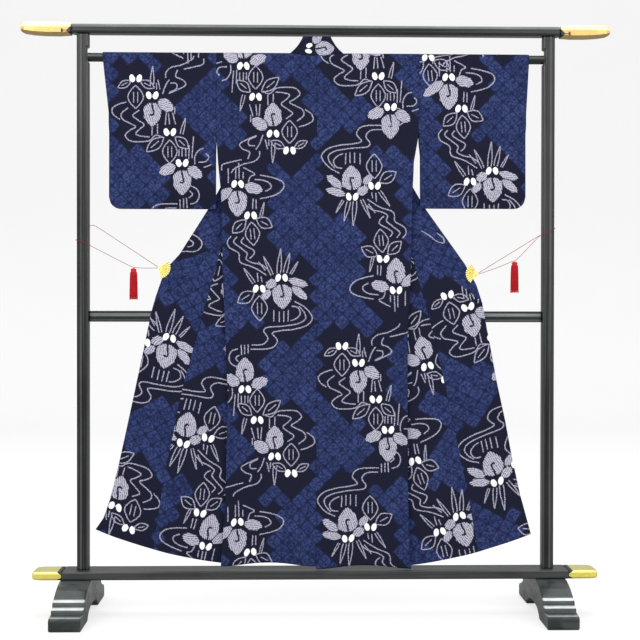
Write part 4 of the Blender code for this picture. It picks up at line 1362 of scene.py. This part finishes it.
# threads hung round the skirt of a tassel, one curve each
def threadTree(look):
    tree = bpy.data.node_groups.new("tasselThreads", "GeometryNodeTree")
    treeInputs(tree, [
        ("Threads", "NodeSocketInt", 110), ("Length", "NodeSocketFloat", 0.08),
        ("Thickness", "NodeSocketFloat", 0.0004), ("Waist", "NodeSocketFloat", 0.006),
        ("Skirt", "NodeSocketFloat", 0.012), ("Top", "NodeSocketVector", None),
        ("Seed", "NodeSocketInt", 3),
    ])
    given = tree.nodes.new("NodeGroupInput")
    g = {s.name: Flow(tree, s) for s in given.outputs if s.name}
    spots = made(tree, "GeometryNodePoints", {}, {"Count": g["Threads"]})
    line = made(tree, "GeometryNodeCurvePrimitiveLine", {}, {"Start": (0, 0, 0), "End": (0, 0, -1.0)})
    line = made(tree, "GeometryNodeResampleCurve", {}, {"Curve": line, "Count": 9})
    many = made(tree, "GeometryNodeInstanceOnPoints", {}, {"Points": spots, "Instance": line})
    index = made(tree, "GeometryNodeInputIndex")
    many = made(tree, "GeometryNodeStoreNamedAttribute", {"data_type": "FLOAT", "domain": "INSTANCE"},
               {"Geometry": many, "Name": "thread", "Value": index})
    loose = made(tree, "GeometryNodeRealizeInstances", {}, {"Geometry": many})
    number = made(tree, "GeometryNodeInputNamedAttribute", {"data_type": "FLOAT"}, {"Name": "thread"})
    place = made(tree, "GeometryNodeInputPosition")
    down = split(place)[2] * -1.0
    drawn = {2: -1.0, 3: 1.0, "ID": number}
    chance, other = (
        made(tree, "FunctionNodeRandomValue", {"data_type": "FLOAT"}, {**drawn, "Seed": seed}, 1)
        for seed in (g["Seed"], g["Seed"] + 7))
    around = number * (2 * math.pi / tassel["strands"]) + chance * 0.05 + down * other * 0.10
    wide = g["Waist"] + (g["Skirt"] - g["Waist"]) * down.maths("POWER", 0.35)
    wide = wide * (1.0 + other * 0.05)
    long = g["Length"] * (1.0 + chance * 0.02)
    east, north = around.maths("COSINE") * wide, around.maths("SINE") * wide
    away = made(tree, "ShaderNodeCombineXYZ", {}, {0: east, 1: north, 2: down * long * -1.0})
    away = made(tree, "ShaderNodeVectorMath", {"operation": "ADD"}, {0: away, 1: g["Top"]})
    loose = made(tree, "GeometryNodeSetPosition", {}, {"Geometry": loose, "Position": away})
    loop = made(tree, "GeometryNodeCurvePrimitiveCircle", {}, {"Resolution": 4, "Radius": g["Thickness"]})
    tubed = {"Curve": loose, "Profile Curve": loop, "Fill Caps": True}
    tube = made(tree, "GeometryNodeCurveToMesh", {}, tubed)
    both = made(tree, "GeometryNodeJoinGeometry", {}, {"Geometry": tube})
    tree.links.new(g["Geometry"].socket, both.socket.node.inputs[0])
    plain = made(tree, "GeometryNodeRealizeInstances", {}, {"Geometry": both})
    painted = made(tree, "GeometryNodeSetMaterial", {}, {"Geometry": plain, "Material": look})
    made(tree, "NodeGroupOutput", {}, {0: painted})
    return tree


def lathe(profile, count, centre):
    verts, faces = [], []
    for r, z in profile:
        for i in range(count):
            a = 2 * math.pi * i / count
            verts.append((centre[0] + r * math.cos(a), centre[1] + r * math.sin(a), centre[2] + z))
    for i in range(len(profile) - 1):
        for j in range(count):
            k = (j + 1) % count
            faces.append((i * count + k, i * count + j, i * count + count + j, i * count + count + k))
    faces.append(tuple(range(count)))
    faces.append(tuple(reversed(range(len(verts) - count, len(verts)))))
    return verts, faces


def tasselPiece(side, look, tree):
    d, top = tasselAt[side]
    centre = (sides[side] * d, tassel["y"], top + 0.0013)
    long, head = tassel["length"], tassel["head"]
    profile = [
        (0.0012, 0.0), (0.0034, -0.0008), (0.0066, -0.0024), (head, -0.0052), (0.0082, -0.0082),
        (0.0076, -0.0098), (0.0084, -0.0104), (0.0092, -0.0114), (0.0086, -0.0122), (0.0094, -0.0132),
        (0.0096, -0.0150), (0.0098, -0.030), (0.0106, -0.055), (0.0112, -long + 0.008),
        (0.0070, -long + 0.006),
    ]
    verts, faces = lathe(profile, 28, centre)
    mesh = bpy.data.meshes.new("tasselRed" + side.title())
    mesh.from_pydata(verts, [], faces)
    work = bmesh.new()
    work.from_mesh(mesh)
    bmesh.ops.recalc_face_normals(work, faces=work.faces)
    work.to_mesh(mesh)
    work.free()
    piece = show(mesh.name, mesh, look)
    growInto(piece, tree, {
        "Threads": tassel["strands"], "Length": long - 0.0127, "Thickness": tassel["strandRadius"],
        "Waist": tassel["waist"], "Skirt": tassel["skirt"], "Seed": tassel["seed"][side],
        "Top": (centre[0], centre[1], centre[2] - tassel["neck"]),
    })
    return piece


# a pleated fan before the cloth, its leaf behind and the block that joins them
def fanPiece(side, look):
    sign = sides[side]
    pivotD, pivotZ = clipAt[side]
    yCloth = edgeDepth(side, pivotZ)
    slope = (edgeDepth(side, pivotZ + 0.02) - edgeDepth(side, pivotZ - 0.02)) / 0.04
    gap = clip["slot"] / 2
    work = bmesh.new()
    first = math.radians(180 - clip["spread"] / 2 + clipTurn[side])
    count = clip["ribs"] * 4
    radii = clip["radii"]
    backs = []
    pleats = []
    for level in (0, 1):
        for n, r in enumerate(radii):
            for i in range(count + 1):
                a = first + math.radians(clip["spread"]) * i / count
                pleat = abs(i % 4 - 2) / 2
                rim = r * (1.0 - (clip["crimp"] * (1 - pleat) if n > 3 else 0))
                fold = clip["pleat"] * pleat * min(r / 0.02, 1)
                pleats.append(pleat if n else 1.0)
                y = yCloth - gap - (clip["plate"] - 0.0011 + fold if level else 0.0)
                spot = (sign * (pivotD + rim * math.cos(a)), y, pivotZ + rim * math.sin(a))
                backs.append(work.verts.new(spot))
    rows, cols = len(radii), count + 1

    def at(level, n, i):
        return backs[(level * rows + n) * cols + i]

    for n in range(rows - 1):
        for i in range(cols - 1):
            work.faces.new((at(0, n, i), at(0, n, i + 1), at(0, n + 1, i + 1), at(0, n + 1, i)))
            work.faces.new((at(1, n, i), at(1, n + 1, i), at(1, n + 1, i + 1), at(1, n, i + 1)))
    end, edge = rows - 1, cols - 1
    for i in range(edge):
        work.faces.new((at(0, 0, i), at(1, 0, i), at(1, 0, i + 1), at(0, 0, i + 1)))
        work.faces.new((at(0, end, i), at(0, end, i + 1), at(1, end, i + 1), at(1, end, i)))
    for n in range(end):
        work.faces.new((at(0, n, 0), at(0, n + 1, 0), at(1, n + 1, 0), at(1, n, 0)))
        work.faces.new((at(0, n, edge), at(1, n, edge), at(1, n + 1, edge), at(0, n + 1, edge)))

    def block(lowD, highD, lowZ, highZ, lowY, highY):
        spots = [(a, b, c) for a in (lowD, highD) for b in (lowY, highY) for c in (lowZ, highZ)]
        corners = [work.verts.new((sign * (pivotD + a), yCloth + b, pivotZ + c)) for a, b, c in spots]
        for f in ((0, 1, 3, 2), (4, 6, 7, 5), (0, 4, 5, 1), (2, 3, 7, 6), (0, 2, 6, 4), (1, 5, 7, 3)):
            work.faces.new([corners[k] for k in f])

    block(-0.024, 0.003, -0.009, 0.009, gap, gap + 0.0014)
    block(-0.0022, 0.0045, -0.0038, 0.0038, -gap - clip["plate"] + 0.0004, gap + 0.0011)
    count, boltD = clip["boltSides"], pivotD - clip["boltIn"]
    turns = [2 * math.pi * i / count for i in range(count)]
    rim = [(sign * (boltD + clip["bolt"] * math.cos(a)), pivotZ + clip["bolt"] * math.sin(a)) for a in turns]
    face = yCloth - gap
    low = [work.verts.new((x, face - 0.0002, z)) for x, z in rim]
    high = [work.verts.new((x, face - clip["plate"] - 0.0004, z)) for x, z in rim]
    dome = work.verts.new((sign * boltD, face - clip["plate"] - 0.0010, pivotZ))
    for i in range(count):
        j = (i + 1) % count
        work.faces.new((low[i], low[j], high[j], high[i]))
        work.faces.new((high[i], high[j], dome))
    work.faces.new(low)
    for spot in work.verts:
        spot.co.y += slope * (spot.co.z - pivotZ)
    bmesh.ops.recalc_face_normals(work, faces=work.faces)
    mesh = bpy.data.meshes.new("fanClip" + side.title())
    work.to_mesh(mesh)
    work.free()
    # one value a vertex: 0 in a fold, 1 on a crest; the gold paints shade into the folds from it
    pleats += [1.0] * (len(mesh.vertices) - len(pleats))
    mesh.attributes.new("pleat", "FLOAT", "POINT").data.foreach_set("value", np.array(pleats, np.float32))
    piece = show(mesh.name, mesh, look)
    for part in mesh.polygons:
        part.use_smooth = False
    return piece


def dressTies():
    silk = silkMaterial("redSilk", (0.34, 0.004, 0.010), (0.72, 0.014, 0.024))
    braid = silkMaterial("redBraid", (0.20, 0.001, 0.004), (0.40, 0.006, 0.014))
    gold = goldMaterial()
    tree = threadTree(silk)
    for side in sides:
        fan = fanPiece(side, gold)
        tuft = tasselPiece(side, silk, tree)
        cord = cordPiece(side, braid)
        ties = ((fan, "clip_", "gold_fitting"), (tuft, "tassel_", "red_silk"), (cord, "cord_", "red_silk"))
        for piece, node, slot in ties:
            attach(piece, "root")
            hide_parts(node + side)
        d, y, z = cordRoute(side)[0]
        length = routeLength(cord)
        print("cord", side, "is", round(length, 4), "m long")
        sides[side] * d


# camera fitted to the photo, in metres, radians and pixels
studio = {
    "distance": 4.115,
    "sideways": -0.0787,
    "height": 0.9412,
    "pitch": -0.01097,
    "roll": 0.00151,
    "yaw": 0.02488,
    "picture": 640,
    "focal": 1324.0,
    "across": 3.99,
    "down": 4.92,
}

# name, place, size, power
lamps = [
    ("keyLamp", (-2.6, -4.2, 3.4), 3.0, 130.0),
    ("fillLamp", (2.8, -4.0, 2.6), 3.0, 90.0),
    ("topLamp", (0.0, 1.0, 4.5), 3.5, 90.0),
]

# a floor that curves up into a backdrop, far enough back for views from behind
backdrop = {"near": -9.0, "curveFrom": 6.5, "curveRadius": 2.0, "top": 9.0, "half": 11.0}


def makeCamera():
    data = bpy.data.cameras.new("camera")
    data.sensor_width = 36.0
    data.lens = data.sensor_width * studio["focal"] / studio["picture"]
    data.shift_x = -studio["across"] / studio["picture"]
    data.shift_y = studio["down"] / studio["picture"]
    camera = bpy.data.objects.new("camera", data)
    bpy.context.scene.collection.objects.link(camera)
    p, r, w = studio["pitch"], studio["roll"], studio["yaw"]
    ahead = Vector((math.sin(w) * math.cos(p), math.cos(w) * math.cos(p), math.sin(p)))
    right = ahead.cross(Vector((0, 0, 1))).normalized()
    up = right.cross(ahead)
    tiltRight = right * math.cos(r) + up * math.sin(r)
    tiltUp = -right * math.sin(r) + up * math.cos(r)
    place = Matrix((tiltRight, tiltUp, -ahead)).transposed().to_4x4()
    place.translation = Vector((studio["sideways"], -studio["distance"], studio["height"]))
    camera.matrix_world = place
    bpy.context.scene.camera = camera


def makeSweep():
    look, tree = newMaterial("paperSweep")
    where = objectPlace(tree)
    faint = noise(tree, where, 3.0, 2.0, 0.5)
    shade = tint(tree, faint, (0.29, 0.29, 0.29), (0.31, 0.31, 0.31))
    # a light table: it shines evenly, so shadows on it stay faint, and less in the lacquer than to the eye
    seen = made(tree, "ShaderNodeLightPath", {}, {}, 0)
    shine = tint(tree, seen, (0.18, 0.18, 0.18), (1.0, 1.0, 1.0))
    finishShader(look, tree, shade, 0.9, None, {"Emission Color": shine, "Emission Strength": 0.68})
    start, radius = backdrop["curveFrom"], backdrop["curveRadius"]
    profile = [(backdrop["near"], 0.0), (start, 0.0)]
    for a in np.linspace(0, math.pi / 2, 24)[1:]:
        profile.append((start + radius * math.sin(a), radius - radius * math.cos(a)))
    profile.append((start + radius, backdrop["top"]))
    verts = [(x, y, z) for y, z in profile for x in (-backdrop["half"], backdrop["half"])]
    faces = [(2 * i, 2 * i + 1, 2 * i + 3, 2 * i + 2) for i in range(len(profile) - 1)]
    mesh = bpy.data.meshes.new("sweep")
    mesh.from_pydata(verts, [], faces)
    sweep = show("sweep", mesh, look)


def makeSky():
    world = bpy.data.worlds.new("softWorld")
    bpy.context.scene.world = world
    world.use_nodes = True
    # white all round, dimmer low down behind the camera
    sky = world.node_tree
    _, ahead, height = split(made(sky, "ShaderNodeTexCoord"))
    dim = step(ahead * -1.0, 0.35, 0.9) * (1 - step(height, 0.05, 0.45))
    glow = tint(sky, dim, (0.95, 0.95, 0.95), (0.42, 0.43, 0.43))
    sky.links.new(glow.socket, sky.nodes["Background"].inputs[0])


def makeLamps():
    for name, at, size, power in lamps:
        data = bpy.data.lights.new(name, "AREA")
        data.size = size
        data.energy = power
        lamp = bpy.data.objects.new(name, data)
        lamp.location = at
        aim = Vector((0, 0.5 if name == "topLamp" else 0, 0.9)) - Vector(at)
        lamp.rotation_euler = aim.to_track_quat("-Z", "Y").to_euler()
        bpy.context.scene.collection.objects.link(lamp)


print("camera and room")
makeCamera()
makeSweep()
makeSky()
makeLamps()
bpy.context.scene.view_settings.view_transform = "Standard"
print("cords, clips and tassels")
dressTies()
print("lacquer and fittings")
paintStand()
print("cloth")
dressRobe()
